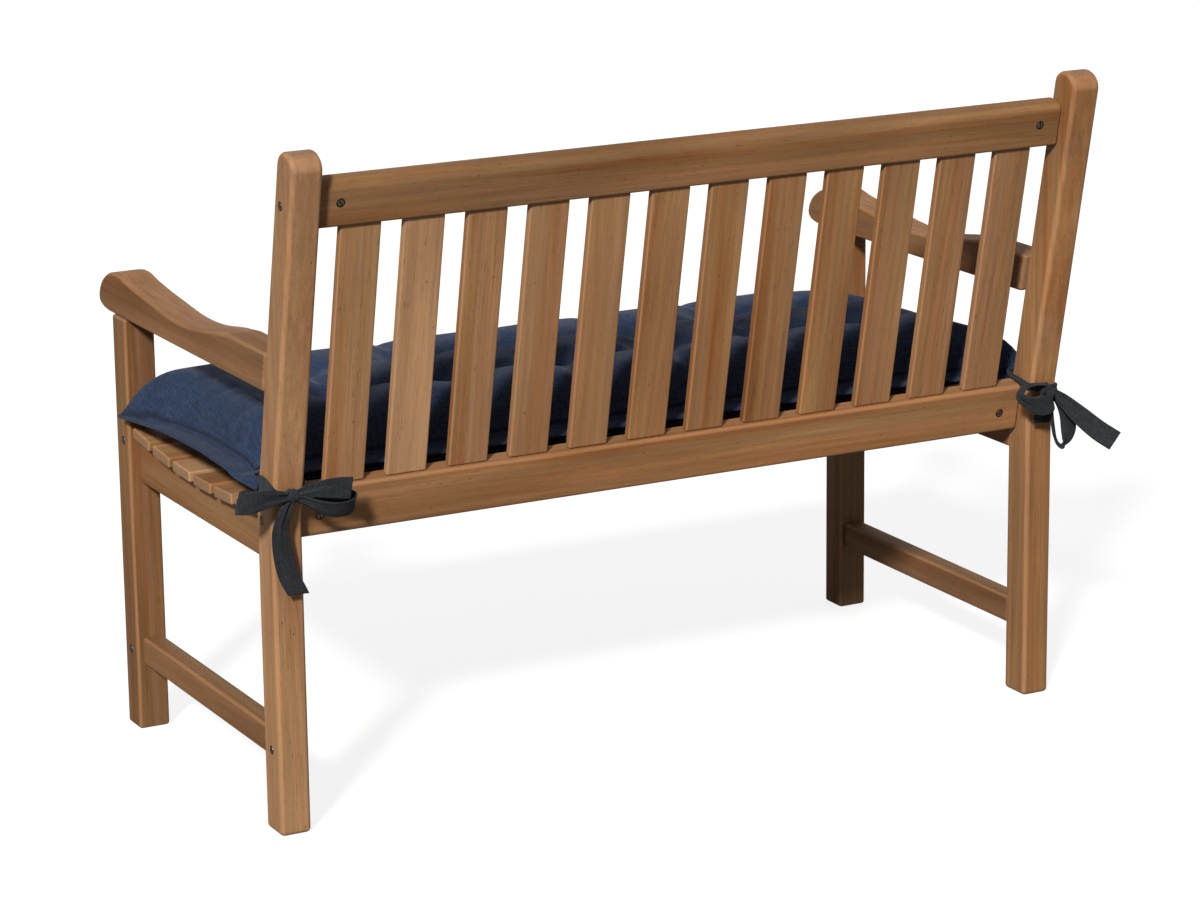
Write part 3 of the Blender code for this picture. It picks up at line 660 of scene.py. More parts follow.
def screw_head():
    """A domed disc cut by its slot, facing up, on a wider flat disc, marked so that its rim round the head is
    painted as the recess's shade.
    """
    work = bmesh.new()
    for half in (1, -1):
        rings = []
        for share, height in SCREW_DOME:
            radius = SCREW_RADIUS * share
            start = math.asin(min(SCREW_SLOT / 2 / radius, 0.95))
            ring = []
            for step in range(SCREW_STEPS + 1):
                turn = start + (math.pi - 2 * start) * step / SCREW_STEPS
                ring.append(work.verts.new((radius * math.cos(turn), half * radius * math.sin(turn), height)))
            rings.append(ring)
        for first, second in zip(rings, rings[1:]):
            for a, b, c, d in zip(first, first[1:], second[1:], second):
                work.faces.new((a, b, c, d)[::half])
        work.faces.new(rings[-1][::half])
        slot_wall = [*(ring[-1] for ring in rings), *(ring[0] for ring in rings[::-1])]
        work.faces.new(slot_wall[::half])
    bmesh.ops.recalc_face_normals(work, faces=work.faces)
    shown = len(work.verts)
    turns = [2 * math.pi * step / SHADE_DISC_STEPS for step in range(SHADE_DISC_STEPS)]
    rim = [(SHADE_DISC_RADIUS * math.cos(turn), SHADE_DISC_RADIUS * math.sin(turn), SHADE_DISC_HEIGHT) for turn in turns]
    work.faces.new([work.verts.new(place) for place in rim])
    head = piece_of("screw_head", work)
    # Only the flat disc is marked, for the painted shade of the recess.
    mark(head.data, "recess_shade", [0.0] * shown + [1.0] * SHADE_DISC_STEPS)
    return head


def one_on_each_point():
    """Sets a copy of a small part on every point, facing the way that the point's aim says."""
    inputs = (
        ("Part", "Object", None),
        ("Most Spin", "Float", math.pi),
        ("Seed", "Int", 5),
        ("Finish", "Material", None),
    )
    tree, given, result = new_tree("one_on_each_point", inputs)
    part = add_node(tree, "GeometryNodeObjectInfo", {"Object": given["Part"]}).outputs["Geometry"]
    aim = add_node(tree, "GeometryNodeInputNamedAttribute", {"Name": "aim"}, data_type="FLOAT_VECTOR")
    sockets = {"Vector": aim.outputs["Attribute"]}
    aimed = add_node(tree, "FunctionNodeAlignRotationToVector", sockets, axis="Z").outputs[0]
    sockets = {3: given["Most Spin"], "Seed": given["Seed"]}
    chance = add_node(tree, "FunctionNodeRandomValue", sockets, data_type="FLOAT").outputs[1]
    spin = add_node(tree, "ShaderNodeCombineXYZ", {2: chance}).outputs[0]
    spin = add_node(tree, "FunctionNodeEulerToRotation", {0: spin}).outputs[0]
    sockets = {"Rotation": aimed, "Rotate By": spin}
    turned = add_node(tree, "FunctionNodeRotateRotation", sockets, rotation_space="LOCAL").outputs[0]
    copies = copies_on(tree, given["Geometry"], part, turned)
    return finish_copies(tree, copies, given["Finish"], result)


spread_tree = one_on_each_point()


def spread(name, part, spots, aims, most_spin, seed, finish):
    """One piece of copies of a small part, which itself is taken away afterwards."""
    mesh = bpy.data.meshes.new(name)
    mesh.from_pydata(spots, [], [])
    layer = mesh.attributes.new("aim", "FLOAT_VECTOR", "POINT")
    layer.data.foreach_set("vector", np.array(aims, np.float32).ravel())
    piece = new_piece(name, mesh)
    grow(piece, spread_tree, {"Part": part, "Most Spin": most_spin, "Seed": seed, "Finish": finish})
    bpy.data.objects.remove(part)
    return piece


spots, aims = [], []
for side in (1, -1):
    for y, z in SIDE_SCREWS:
        spots.append((side * half_bench, y, z))
        aims.append((side, 0.0, 0.0))
    for x, along in RAIL_SCREWS:
        spots.append((side * x, *raked(along, rail_back)))
        aims.append((0.0, math.cos(RAKE), -math.sin(RAKE)))
screws = spread("tenon_screws", screw_head(), spots, aims, math.pi, 5, worn_steel_and_recess_shade())
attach(screws, "root")


# Cushion
# Two panels of blue woven cloth sewn together round a filling. A line of stitches sets off
# a flat border all round, and two rows of tufts are stitched down through the filling.
CUSHION_ENDS = (-0.608, 0.616)
CUSHION_BACK_Y = 0.187
CUSHION_FRONT_Y = -0.249
CUSHION_FRONT_BOW = 0.023
FRONT_BOW_FADE = 0.10
LEG_CLEARANCE = 0.010
RIGHT_BORDER_LINE = (
    (-0.2490, 0.4590), (-0.0914, 0.4733),
    (-0.0201, 0.4756), (0.0494, 0.4764),
    (0.1390, 0.4724), (0.1564, 0.4663),
    (0.1870, 0.4588),
)
BORDER = 0.034
BORDER_THICKNESS = 0.004
BORDER_Z = 0.468
PAD_RISE = 0.0645
FRONT_SHOULDER = 0.092
BACK_SHOULDER = 0.055
RIGHT_SHOULDER = 0.045
LEFT_SHOULDER_FRONT = 0.238
LEFT_SHOULDER_BACK = 0.103
LEFT_CORNER_SHOULDER = 0.030
LEFT_CORNER_REACH = 0.110
BELLY_SHOULDER = 0.085
FULL_CORNER_REACH = 0.140
TUFT_COLUMNS = 6
TUFT_PITCH = 0.164
TUFT_ROWS = (-0.092, 0.030)
CREASE_FADE = 0.070
CLOTH_SURPLUS = 0.018
MOST_PUFF = 0.0065
CORNER_FILL = 0.93
NEAR_END = 0.090
LEFT_CORNER_SINK = 0.018
TUFT_DEPTH = 0.030
TUFT_REACH = 0.030
ROW_CREASE = 0.011
COLUMN_CREASE = 0.0070
CREASE_REACH = 0.014
GRID_SPACING = 0.0088
BORDER_LINES = 4
SEAM_PASSES = 4
SEAT_CLEARANCE = 0.0006
SEAM_HOLD = (0.003, 0.020)
TUFT_HOLD = (0.008, 0.022)
PUFF_PRESSURE = 4.0
PUFF_STIFFNESS = 0.4
PUFF_FRAMES = 20


def quarter_round(distance, reach):
    left = 1.0 - np.clip(distance / reach, 0.0, 1.0)
    return np.sqrt(np.maximum(0.0, 1.0 - left * left))


def bump_shape(distance, width):
    return np.exp(-((distance / width) ** 2))


def fade(value):
    """From 0 to 1 without a corner at either end."""
    value = np.clip(value, 0.0, 1.0)
    return value * value * (3 - 2 * value)


def plan_distances(x, y):
    """How far a point of the flat pattern is from the left, right, front and back edges."""
    return x - CUSHION_ENDS[0], CUSHION_ENDS[1] - x, y - front_edge(x), CUSHION_BACK_Y - y


def full_corners(x, y):
    """1 at the two corners that are filled out to the tip, falling to 0 away from them."""
    left, right, _, back = plan_distances(x, y)
    full_left = bump_shape(np.hypot(left, back), LEFT_CORNER_REACH)
    return full_left, bump_shape(np.hypot(right, y - CUSHION_FRONT_Y), FULL_CORNER_REACH)


def past_stitches(x, y):
    """How far a point lies inside the line of stitches, and the border's width there."""
    full_left, full_right = full_corners(x, y)
    border = BORDER * (1.0 - CORNER_FILL * full_left) * (1.0 - CORNER_FILL * full_right)
    return np.min(plan_distances(x, y), axis=0) - border, border


def follow_stitches(distance, line, border, reach=0.12):
    """Shifts the grid lines near an edge so that the one at distance line lies on the stitches."""
    outer = distance * border / line
    inner = border + (distance - line) * (reach - border) / (reach - line)
    return np.where(distance < line, outer, np.where(distance < reach, inner, distance))


def tuft_distance(x, y):
    return np.min([np.hypot(x - tuft_x, y - tuft_y) for tuft_x, tuft_y in tufts], axis=0)


def front_edge(x):
    """The front edge stands behind the legs at the ends and bows forward between them."""
    behind_leg = half_bench - LEG_SIDE - LEG_CLEARANCE
    return CUSHION_FRONT_Y - CUSHION_FRONT_BOW * fade((behind_leg - np.abs(x)) / FRONT_BOW_FADE)


middle_x = sum(CUSHION_ENDS) / 2
outer_tuft = (TUFT_COLUMNS - 1) / 2 * TUFT_PITCH
tuft_columns = [middle_x - outer_tuft + column * TUFT_PITCH for column in range(TUFT_COLUMNS)]
tufts = [(x, y) for x in tuft_columns for y in TUFT_ROWS]
columns = round((CUSHION_ENDS[1] - CUSHION_ENDS[0]) / GRID_SPACING)
rows = round((CUSHION_BACK_Y - CUSHION_FRONT_Y) / GRID_SPACING)
across = np.linspace(*CUSHION_ENDS, columns + 1)
plan_x, plan_share = np.meshgrid(across, np.linspace(0.0, 1.0, rows + 1))
front = front_edge(plan_x)
plan_y = front + plan_share * (CUSHION_BACK_Y - front)

# Near the edges the grid is shifted so that one of its lines lies on the stitches.
left_seam = right_seam = front_seam = back_seam = np.full_like(plan_x, BORDER)
for _ in range(SEAM_PASSES):
    left_seam = past_stitches(CUSHION_ENDS[0] + left_seam, plan_y)[1]
    right_seam = past_stitches(CUSHION_ENDS[1] - right_seam, plan_y)[1]
    front_seam = past_stitches(plan_x, front + front_seam)[1]
    back_seam = past_stitches(plan_x, CUSHION_BACK_Y - back_seam)[1]
line = BORDER_LINES * (across[1] - across[0])
plan_x = CUSHION_ENDS[0] + follow_stitches(plan_x - CUSHION_ENDS[0], line, left_seam)
plan_x = CUSHION_ENDS[1] - follow_stitches(CUSHION_ENDS[1] - plan_x, line, right_seam)
front = front_edge(plan_x)
depth = CUSHION_BACK_Y - front
line = BORDER_LINES / rows * depth
from_front = follow_stitches(plan_share * depth, line, front_seam)
plan_y = CUSHION_BACK_Y - follow_stitches(depth - from_front, line, back_seam)

from_left, from_right, from_front, from_back = plan_distances(plan_x, plan_y)
full_left = full_corners(plan_x, plan_y)[0]
inside, border = past_stitches(plan_x, plan_y)
near_end = fade(1.0 - from_right / NEAR_END)
seam_z = BORDER_Z + near_end * (np.interp(plan_y, *zip(*RIGHT_BORDER_LINE)) - BORDER_Z)
seam_z = seam_z - LEFT_CORNER_SINK * full_left
backward = from_front / (from_front + from_back)
left_shoulder = LEFT_SHOULDER_FRONT + (LEFT_SHOULDER_BACK - LEFT_SHOULDER_FRONT) * backward
left_shoulder = left_shoulder + (LEFT_CORNER_SHOULDER - left_shoulder) * full_left
rise = quarter_round(from_right - border, RIGHT_SHOULDER)
rise = rise * quarter_round(from_left - border, left_shoulder)
rise = rise * quarter_round(from_front - border, FRONT_SHOULDER)
rise = rise * quarter_round(from_back - border, BACK_SHOULDER)
beyond_x = np.maximum(np.abs(plan_x - middle_x) - outer_tuft, 0.0)
beyond_y = np.maximum(np.maximum(TUFT_ROWS[0] - plan_y, plan_y - TUFT_ROWS[1]), 0.0)
row_crease = ROW_CREASE * bump_shape(beyond_x, CREASE_FADE)
column_crease = COLUMN_CREASE * bump_shape(beyond_y, CREASE_FADE)
pulled = np.zeros_like(plan_x)
for tuft_x, tuft_y in tufts:
    off_x, off_y = plan_x - tuft_x, plan_y - tuft_y
    pulled = np.maximum(pulled, TUFT_DEPTH * bump_shape(np.hypot(off_x, off_y), TUFT_REACH))
    pulled = np.maximum(pulled, row_crease * bump_shape(off_y, CREASE_REACH))
    pulled = np.maximum(pulled, column_crease * bump_shape(off_x, CREASE_REACH))
belly = np.ones_like(plan_x)
for distance in (from_left, from_right, from_front, from_back):
    belly = belly * quarter_round(distance - BORDER, BELLY_SHOULDER)
top_z = seam_z + BORDER_THICKNESS / 2 + rise * (PAD_RISE - pulled)
rest_z = seat_z(plan_y) + SEAT_CLEARANCE
low_z = np.maximum((seam_z - BORDER_THICKNESS / 2) * (1 - belly) + rest_z * belly, rest_z)
free = fade((inside - SEAM_HOLD[0]) / SEAM_HOLD[1])
free = free * fade((tuft_distance(plan_x, plan_y) - TUFT_HOLD[0]) / TUFT_HOLD[1])

work = bmesh.new()
weave = work.loops.layers.uv.new("weave")
layers = []
for heights in (top_z, low_z):
    points = np.stack([plan_x, plan_y, heights], -1)
    layers.append([[work.verts.new(point) for point in row] for row in points])
for layer, turned in ((layers[0], False), (layers[1], True)):
    for r in range(rows):
        for c in range(columns):
            corners = [layer[r][c], layer[r][c + 1], layer[r + 1][c + 1], layer[r + 1][c]]
            work.faces.new(corners[::-1] if turned else corners)


def rim_of(layer):
    """The layer's outer vertices in order, once round."""
    found = list(layer[0]) + [row[-1] for row in layer[1:]]
    return found + layer[-1][-2::-1] + [row[0] for row in layer[-2:0:-1]]


def vertex_places(mesh):
    places = np.empty(len(mesh.vertices) * 3, np.float32)
    mesh.vertices.foreach_get("co", places)
    return places.reshape(-1, 3)


upper, lower = rim_of(layers[0]), rim_of(layers[1])
for index, vert in enumerate(upper):
    after = (index + 1) % len(upper)
    work.faces.new((upper[after], vert, lower[index], lower[after]))
for polygon in work.faces:
    polygon.smooth = True
    for loop in polygon.loops:
        loop[weave].uv = loop.vert.co.xy
cushion = piece_of("bench_cushion", work)

# The filling presses the slightly roomy cloth up between the stitches that hold it.
held = cushion.vertex_groups.new(name="held")
for index, loose in enumerate(np.concatenate([free.ravel(), np.zeros(free.size)])):
    held.add([index], float(1.0 - loose), "REPLACE")
puff = cushion.modifiers.new("Puff", "CLOTH")
puff.settings.vertex_group_mass = "held"
puff.settings.use_pressure = True
puff.settings.uniform_pressure_force = PUFF_PRESSURE
puff.settings.shrink_min = -CLOTH_SURPLUS
puff.settings.effector_weights.gravity = 0.0
puff.settings.bending_stiffness = PUFF_STIFFNESS
puff.point_cache.frame_start = 1
puff.point_cache.frame_end = PUFF_FRAMES
for frame_number in range(1, PUFF_FRAMES + 1):
    bpy.context.scene.frame_set(frame_number)
before = vertex_places(cushion.data)
settle(cushion)
moved = vertex_places(cushion.data) - before
length = np.maximum(np.linalg.norm(moved, axis=1, keepdims=True), 1e-9)
moved *= MOST_PUFF * np.tanh(length / MOST_PUFF) / length
cushion.data.vertices.foreach_set("co", (before + moved).ravel())
bpy.context.scene.frame_set(1)

# The tied corner is drawn back along the outside of its post, lifted and pressed to it.
CORNER_START_Y = 0.150
CORNER_LENGTH = 0.037
CORNER_LIFT = 0.017
CORNER_DRAWN_BACK = 0.033
CORNER_PRESSED = 0.55
POST_SIDE_SPAN = (0.002, 0.006)
PRESSED_FROM = 0.0022
LIFT_SPAN_X = (0.560, 0.619)
LIFT_FADES = (0.035, 0.014)
points = vertex_places(cushion.data)
x, y, z = points.T
beside = fade((x - half_bench - POST_SIDE_SPAN[0]) / POST_SIDE_SPAN[1])
drawn = fade((y - CORNER_START_Y) / CORNER_LENGTH)
lifted = fade((LIFT_SPAN_X[1] - x) / LIFT_FADES[1])
z += CORNER_LIFT * drawn * lifted * fade((x - LIFT_SPAN_X[0]) / LIFT_FADES[0])
y += (CORNER_DRAWN_BACK * beside) * drawn
x -= (CORNER_PRESSED * drawn) * np.maximum(x - half_bench - PRESSED_FROM, 0.0)
cushion.data.vertices.foreach_set("co", points.ravel())
finer = cushion.modifiers.new("Finer", "SUBSURF")
finer.levels = finer.render_levels = 1
settle(cushion)
pattern = np.empty(len(cushion.data.loops) * 2, np.float32)
cushion.data.uv_layers["weave"].data.foreach_get("uv", pattern)
corner_verts = np.empty(len(cushion.data.loops), np.int32)
cushion.data.loops.foreach_get("vertex_index", corner_verts)
flat_place = np.zeros((len(cushion.data.vertices), 2))
flat_place[corner_verts] = pattern.reshape(-1, 2)
mark(cushion.data, "seam", past_stitches(*flat_place.T)[0])


def woven_cloth(name, dark, light, thread, sewn):
    """Plain weave over the piece's own flat pattern: threads over and under, with slubs in them.

    Where a piece is sewn, the attribute seam says how far a point is from the stitches.
    """
    material, tree, shader = new_material(name)
    pattern = add_node(tree, "ShaderNodeUVMap", uv_map="weave").outputs[0]
    counted = scaled(tree, pattern, (1 / thread, 1 / thread, 1.0))
    warp, weft = add_node(tree, "ShaderNodeSeparateXYZ", {0: counted}).outputs[:2]
    ridges = [
        maths(tree, "ABSOLUTE", maths(tree, "SINE", product(tree, count, math.pi)))
        for count in (warp, weft)
    ]
    over = add_node(tree, "ShaderNodeTexChecker", {"Vector": counted, "Scale": 1.0}).outputs["Fac"]
    under = maths(tree, "SUBTRACT", 1.0, over)
    height = maths(tree, "MULTIPLY_ADD", ridges[1], under, product(tree, ridges[0], over))
    place = add_node(tree, "ShaderNodeTexCoord").outputs["Object"]

    def slubs(along, across):
        return noise(tree, scaled(tree, counted, (along, across, 1.0)), 1.0, 2.0, 0.6)

    mottle = remap(tree, maths(tree, "ADD", slubs(0.9, 0.06), slubs(0.06, 0.9)), 0.72, 1.28)
    faded = remap(tree, noise(tree, place, 14.0, 4.0, 0.6), 0.3, 0.7)
    share = maths(tree, "MULTIPLY_ADD", mottle, 0.62, product(tree, faded, 0.18))
    share = maths(tree, "ADD", share, remap(tree, slubs(0.55, 0.55), 0.30, 0.70, -0.22, 0.34))
    # Painted shade: the low places between the threads are drawn darker, on the cushion cloth and the ribbon
    # alike.
    share = product(tree, share, remap(tree, height, 0.0, 0.8, 0.45, 1.0))
    colour = blend_colour(tree, share, dark, light)
    normal = bumped(tree, 0.5, 0.0004, maths(tree, "MULTIPLY_ADD", mottle, 0.5, height))
    if sewn:
        seam = maths(tree, "ABSOLUTE", own_number(tree, "seam"))
        groove_and_shade = remap(tree, seam, 0.0005, 0.0020, 1.0, 0.0)
        # Painted shade: along the stitches the colour is drawn towards the dark thread colour, as the shadow
        # in the seam's groove; the bump below gives the groove itself.
        colour = blend_colour(tree, product(tree, groove_and_shade, 0.80), colour, dark)
        creased = product(tree, maths(tree, "SMOOTH_MIN", groove_and_shade, 1.0, 0.3), -1.0)
        normal = bumped(tree, 0.8, 0.0030, creased, Normal=normal)
    plug(tree, shader, {"Base Color": colour, "Normal": normal, "Roughness": 0.92})
    plug(tree, shader, {"Specular IOR Level": 0.18, "Sheen Weight": 0.06, "Sheen Roughness": 0.45})
    return material


blue_cloth = woven_cloth("blue_cloth", (0.006, 0.012, 0.033), (0.034, 0.062, 0.128), 0.0014, sewn=True)
cushion.data.materials.clear()
cushion.data.materials.append(blue_cloth)
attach(cushion, "root")
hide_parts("cushion")


# Tuft tacks
# Each tuft is held by a bar of thick blue thread, wound a few times through both panels.
TACK_LENGTH = 0.0085
TACK_THREADS = 5
TACK_THREAD = 0.0009
TACK_ARCH_STEPS = 8
TACK_SIDES = 8


def thread_tack():
    """A few arched threads side by side, lying along X with their feet in the cloth."""
    work = bmesh.new()
    radius = TACK_THREAD / 2
    turns = [math.pi * 2 * side / TACK_SIDES for side in range(TACK_SIDES)]
    offsets = [Vector((0, radius * math.cos(turn), radius * math.sin(turn))) for turn in turns]
    for number in range(TACK_THREADS):
        y = (number - (TACK_THREADS - 1) / 2) * TACK_THREAD * 1.05
        rings = []
        for step in range(TACK_ARCH_STEPS + 1):
            t = -1.0 + 2 * step / TACK_ARCH_STEPS
            middle = Vector((t * TACK_LENGTH / 2, y, TACK_THREAD * (0.9 - 2.2 * t * t)))
            rings.append([work.verts.new(middle + offset) for offset in offsets])
        for first, second in zip(rings, rings[1:]):
            for k in range(TACK_SIDES):
                following = (k + 1) % TACK_SIDES
                work.faces.new((first[k], first[following], second[following], second[k])).smooth = True
        work.faces.new(rings[0])
        work.faces.new(rings[-1])
    bmesh.ops.recalc_face_normals(work, faces=work.faces)
    return piece_of("thread_tack", work)


thread_blue, thread_tree, thread_shader = new_material("thread_blue")
thread_place = add_node(thread_tree, "ShaderNodeTexCoord").outputs["Object"]
twist = remap(thread_tree, noise(thread_tree, thread_place, 1500.0, 2.0), 0.35, 0.65)
thread_colour = blend_colour(thread_tree, twist, (0.012, 0.022, 0.055), (0.050, 0.085, 0.165))
plug(thread_tree, thread_shader, {"Base Color": thread_colour, "Roughness": 0.7})
tops = np.array([v.co[:] for v in cushion.data.vertices if v.normal.z > 0.2])
spots = []
for x, y in tufts:
    nearest = tops[np.argmin(np.hypot(tops[:, 0] - x, tops[:, 1] - y))]
    spots.append((x, y, float(nearest[2])))
tacks = spread("tuft_tacks", thread_tack(), spots, [(0.0, 0.0, 1.0)] * len(spots), 0.3, 2, thread_blue)
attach(tacks, "root")


# Ties
# A grey woven ribbon is sewn to each rear corner, led round both sides of the post behind it
# and tied there in a bow with two free ends. The ribbon gathers into folds where it is knotted.
# Each route lists x, y, z of the ribbon's middle, its width there, and the way its width points.
RIBBON_WIDTH = 0.0295
RIBBON_THICKNESS = 0.0012
RIBBON_STEPS = 12
RIBBON_PARTS = 18
FOLD_DEPTH = 0.0040
FOLD_CROWDING = 0.55
FOLD_WAVES = ((1.0, 1.5, 1.7, 14.0), (0.45, 3.1, 2.9, -31.0))
SOFT_WAVE = 0.0011
TAIL_CUT_FROM = 0.75
STRAP_LOOSENESS = 0.3
LONG_TAIL_SLANT = -0.55
WELD = 0.000005
UP = (0, 0, 1)
RIGHT_RIBBONS = {
    "outer_strap": (
        (0.603, 0.208, 0.469, 0.022, UP), (0.603, 0.218, 0.4705, 0.024, UP),
        (0.603, 0.231, 0.4705, 0.024, UP), (0.603, 0.248, 0.4685, 0.019, UP),
        (0.5985, 0.2575, 0.465, 0.013, UP), (0.583, 0.26, 0.4632, 0.01, UP),
    ),
    "inner_strap": (
        (0.601, 0.193, 0.464, 0.014, UP), (0.577, 0.1943, 0.47, 0.013, UP),
        (0.558, 0.1965, 0.4735, 0.012, UP), (0.5527, 0.206, 0.4735, 0.012, UP),
        (0.5528, 0.228, 0.4725, 0.012, UP), (0.554, 0.25, 0.469, 0.012, UP),
        (0.561, 0.259, 0.466, 0.011, UP), (0.574, 0.261, 0.4632, 0.01, UP),
    ),
    "outer_loop": (
        (0.58, 0.265, 0.463, 0.01, UP), (0.604, 0.272, 0.465, 0.018, UP),
        (0.624, 0.275, 0.4655, 0.026, (-0.1, 0, 1)), (0.642, 0.273, 0.464, 0.029, (-0.25, 0, 1)),
        (0.6535, 0.264, 0.4635, 0.0295, (-0.33, 0, 1)), (0.642, 0.2545, 0.462, 0.029, (-0.25, 0, 1)),
        (0.622, 0.254, 0.46, 0.026, (-0.1, 0, 1)), (0.606, 0.258, 0.461, 0.018, UP),
        (0.582, 0.26, 0.463, 0.01, UP),
    ),
    "short_tail": (
        (0.577, 0.265, 0.464, 0.01, UP), (0.565, 0.27, 0.4665, 0.014, UP),
        (0.551, 0.275, 0.4695, 0.021, (0, 0.1, 1)), (0.529, 0.279, 0.47, 0.028, (0, 0.1, 1)),
        (0.503, 0.28, 0.467, 0.0295, (0.05, 0, 1)),
    ),
    "inner_loop": (
        (0.577, 0.264, 0.4605, 0.009, (0, 0.3, 1)), (0.562, 0.269, 0.455, 0.016, (0, 0.6, 1)),
        (0.546, 0.275, 0.447, 0.024, (0, 0.8, 1)), (0.523, 0.277, 0.44, 0.028, (0, 0.8, 1)),
        (0.502, 0.273, 0.44, 0.029, (0, 0.8, 1)), (0.492, 0.265, 0.444, 0.029, (0, 0.7, 1)),
        (0.499, 0.256, 0.448, 0.028, (0, 0.4, 1)), (0.523, 0.255, 0.453, 0.024, (0, 0.2, 1)),
        (0.551, 0.258, 0.459, 0.016, UP), (0.575, 0.26, 0.462, 0.009, UP),
    ),
    "long_tail": (
        (0.579, 0.264, 0.461, 0.01, (1, 0, 0.5)), (0.59, 0.2665, 0.444, 0.017, (1, 0, 0.3)),
        (0.596, 0.263, 0.419, 0.024, (1, 0.1, 0)), (0.593, 0.26, 0.392, 0.027, (1, 0.1, -0.1)),
        (0.586, 0.259, 0.36, 0.027, (1, 0, -0.25)), (0.572, 0.259, 0.33, 0.0265, (1, 0, -0.15)),
    ),
}
LEFT_RIBBONS = {
    "outer_strap": (
        (-0.599, 0.185, 0.456, 0.014, (-0.5, 0, 1)), (-0.603, 0.199, 0.456, 0.014, (-0.2, 0, 1)),
        (-0.6026, 0.213, 0.454, 0.013, UP), (-0.602, 0.229, 0.453, 0.013, UP),
        (-0.6016, 0.248, 0.453, 0.012, UP), (-0.596, 0.256, 0.4545, 0.011, UP),
        (-0.578, 0.2605, 0.4565, 0.01, UP),
    ),
    "inner_strap": (
        (-0.6, 0.193, 0.459, 0.012, UP), (-0.574, 0.1925, 0.467, 0.011, UP),
        (-0.557, 0.195, 0.469, 0.009, UP), (-0.5535, 0.202, 0.4685, 0.008, UP),
        (-0.5535, 0.228, 0.464, 0.009, UP), (-0.5545, 0.249, 0.46, 0.01, UP),
        (-0.561, 0.2585, 0.46, 0.011, UP), (-0.571, 0.2605, 0.4565, 0.01, UP),
    ),
    "inner_loop": (
        (-0.574, 0.266, 0.457, 0.01, (0, 0.3, 1)), (-0.5765, 0.277, 0.449, 0.02, (0.1, 0.1, 1)),
        (-0.57, 0.285, 0.4415, 0.028, (0.1, 0, 1)), (-0.55, 0.288, 0.4405, 0.0285, (0, 0.1, 1)),
        (-0.532, 0.283, 0.446, 0.022, (0, 0.5, 0.9)), (-0.5235, 0.275, 0.455, 0.017, (-0.2, 0.9, 0.6)),
        (-0.531, 0.272, 0.464, 0.014, (-0.1, 1, 0.3)), (-0.548, 0.27, 0.467, 0.014, (0, 1, 0.2)),
        (-0.565, 0.266, 0.4635, 0.012, (0, 0.8, 0.4)), (-0.574, 0.262, 0.457, 0.01, (0, 0.3, 1)),
    ),
    "short_tail": (
        (-0.573, 0.262, 0.454, 0.01, (1, 0, 0.1)), (-0.5705, 0.263, 0.435, 0.019, (1, 0, 0.1)),
        (-0.569, 0.261, 0.408, 0.028, (1, 0, 0.2)),
    ),
    "long_tail": (
        (-0.574, 0.265, 0.457, 0.01, (-0.2, 0, 1)), (-0.593, 0.276, 0.442, 0.018, (-0.4, 0, 1)),
        (-0.611, 0.293, 0.421, 0.026, (-0.5, 0, 1)), (-0.629, 0.313, 0.401, 0.029, (-0.5, 0, 1)),
        (-0.645, 0.333, 0.387, 0.0295, (-0.6, 0, 1)),
    ),
    "outer_loop": (
        (-0.576, 0.264, 0.454, 0.01, (0.5, 1, 0.2)), (-0.5785, 0.27, 0.433, 0.014, (0.5, 1, 0.2)),
        (-0.579, 0.274, 0.408, 0.016, (0.5, 1, 0.2)), (-0.5835, 0.275, 0.385, 0.017, (0.6, 1, 0.1)),
        (-0.594, 0.275, 0.375, 0.019, (0.8, 0.6, 0)), (-0.6035, 0.275, 0.385, 0.022, (1, 0.1, 0)),
        (-0.6065, 0.274, 0.401, 0.024, (1, -0.2, 0)), (-0.605, 0.269, 0.421, 0.021, (1, -0.2, 0)),
        (-0.595, 0.264, 0.44, 0.015, (1, 0, 0.2)), (-0.578, 0.26, 0.456, 0.01, (1, 0, 0.4)),
    ),
}
KNOTS = {"right": (0.5780, 0.2625, 0.4628), "left": (-0.5745, 0.2605, 0.4562)}
KNOT_HALF = (0.0098, 0.0078, 0.0092)
KNOT_ROUND_STEPS = 40
KNOT_LONG_STEPS = 22
KNOT_FOLD = 0.085
KNOT_LEAN = 0.15
KNOT_GIRTH = 0.0085


def lay_face(work, weave, corners):
    """A face between corners that each bring a vertex and its own place in the weave."""
    polygon = work.faces.new([vert for vert, _ in corners])
    polygon.smooth = True
    for loop, (_, uv) in zip(polygon.loops, corners):
        loop[weave].uv = uv


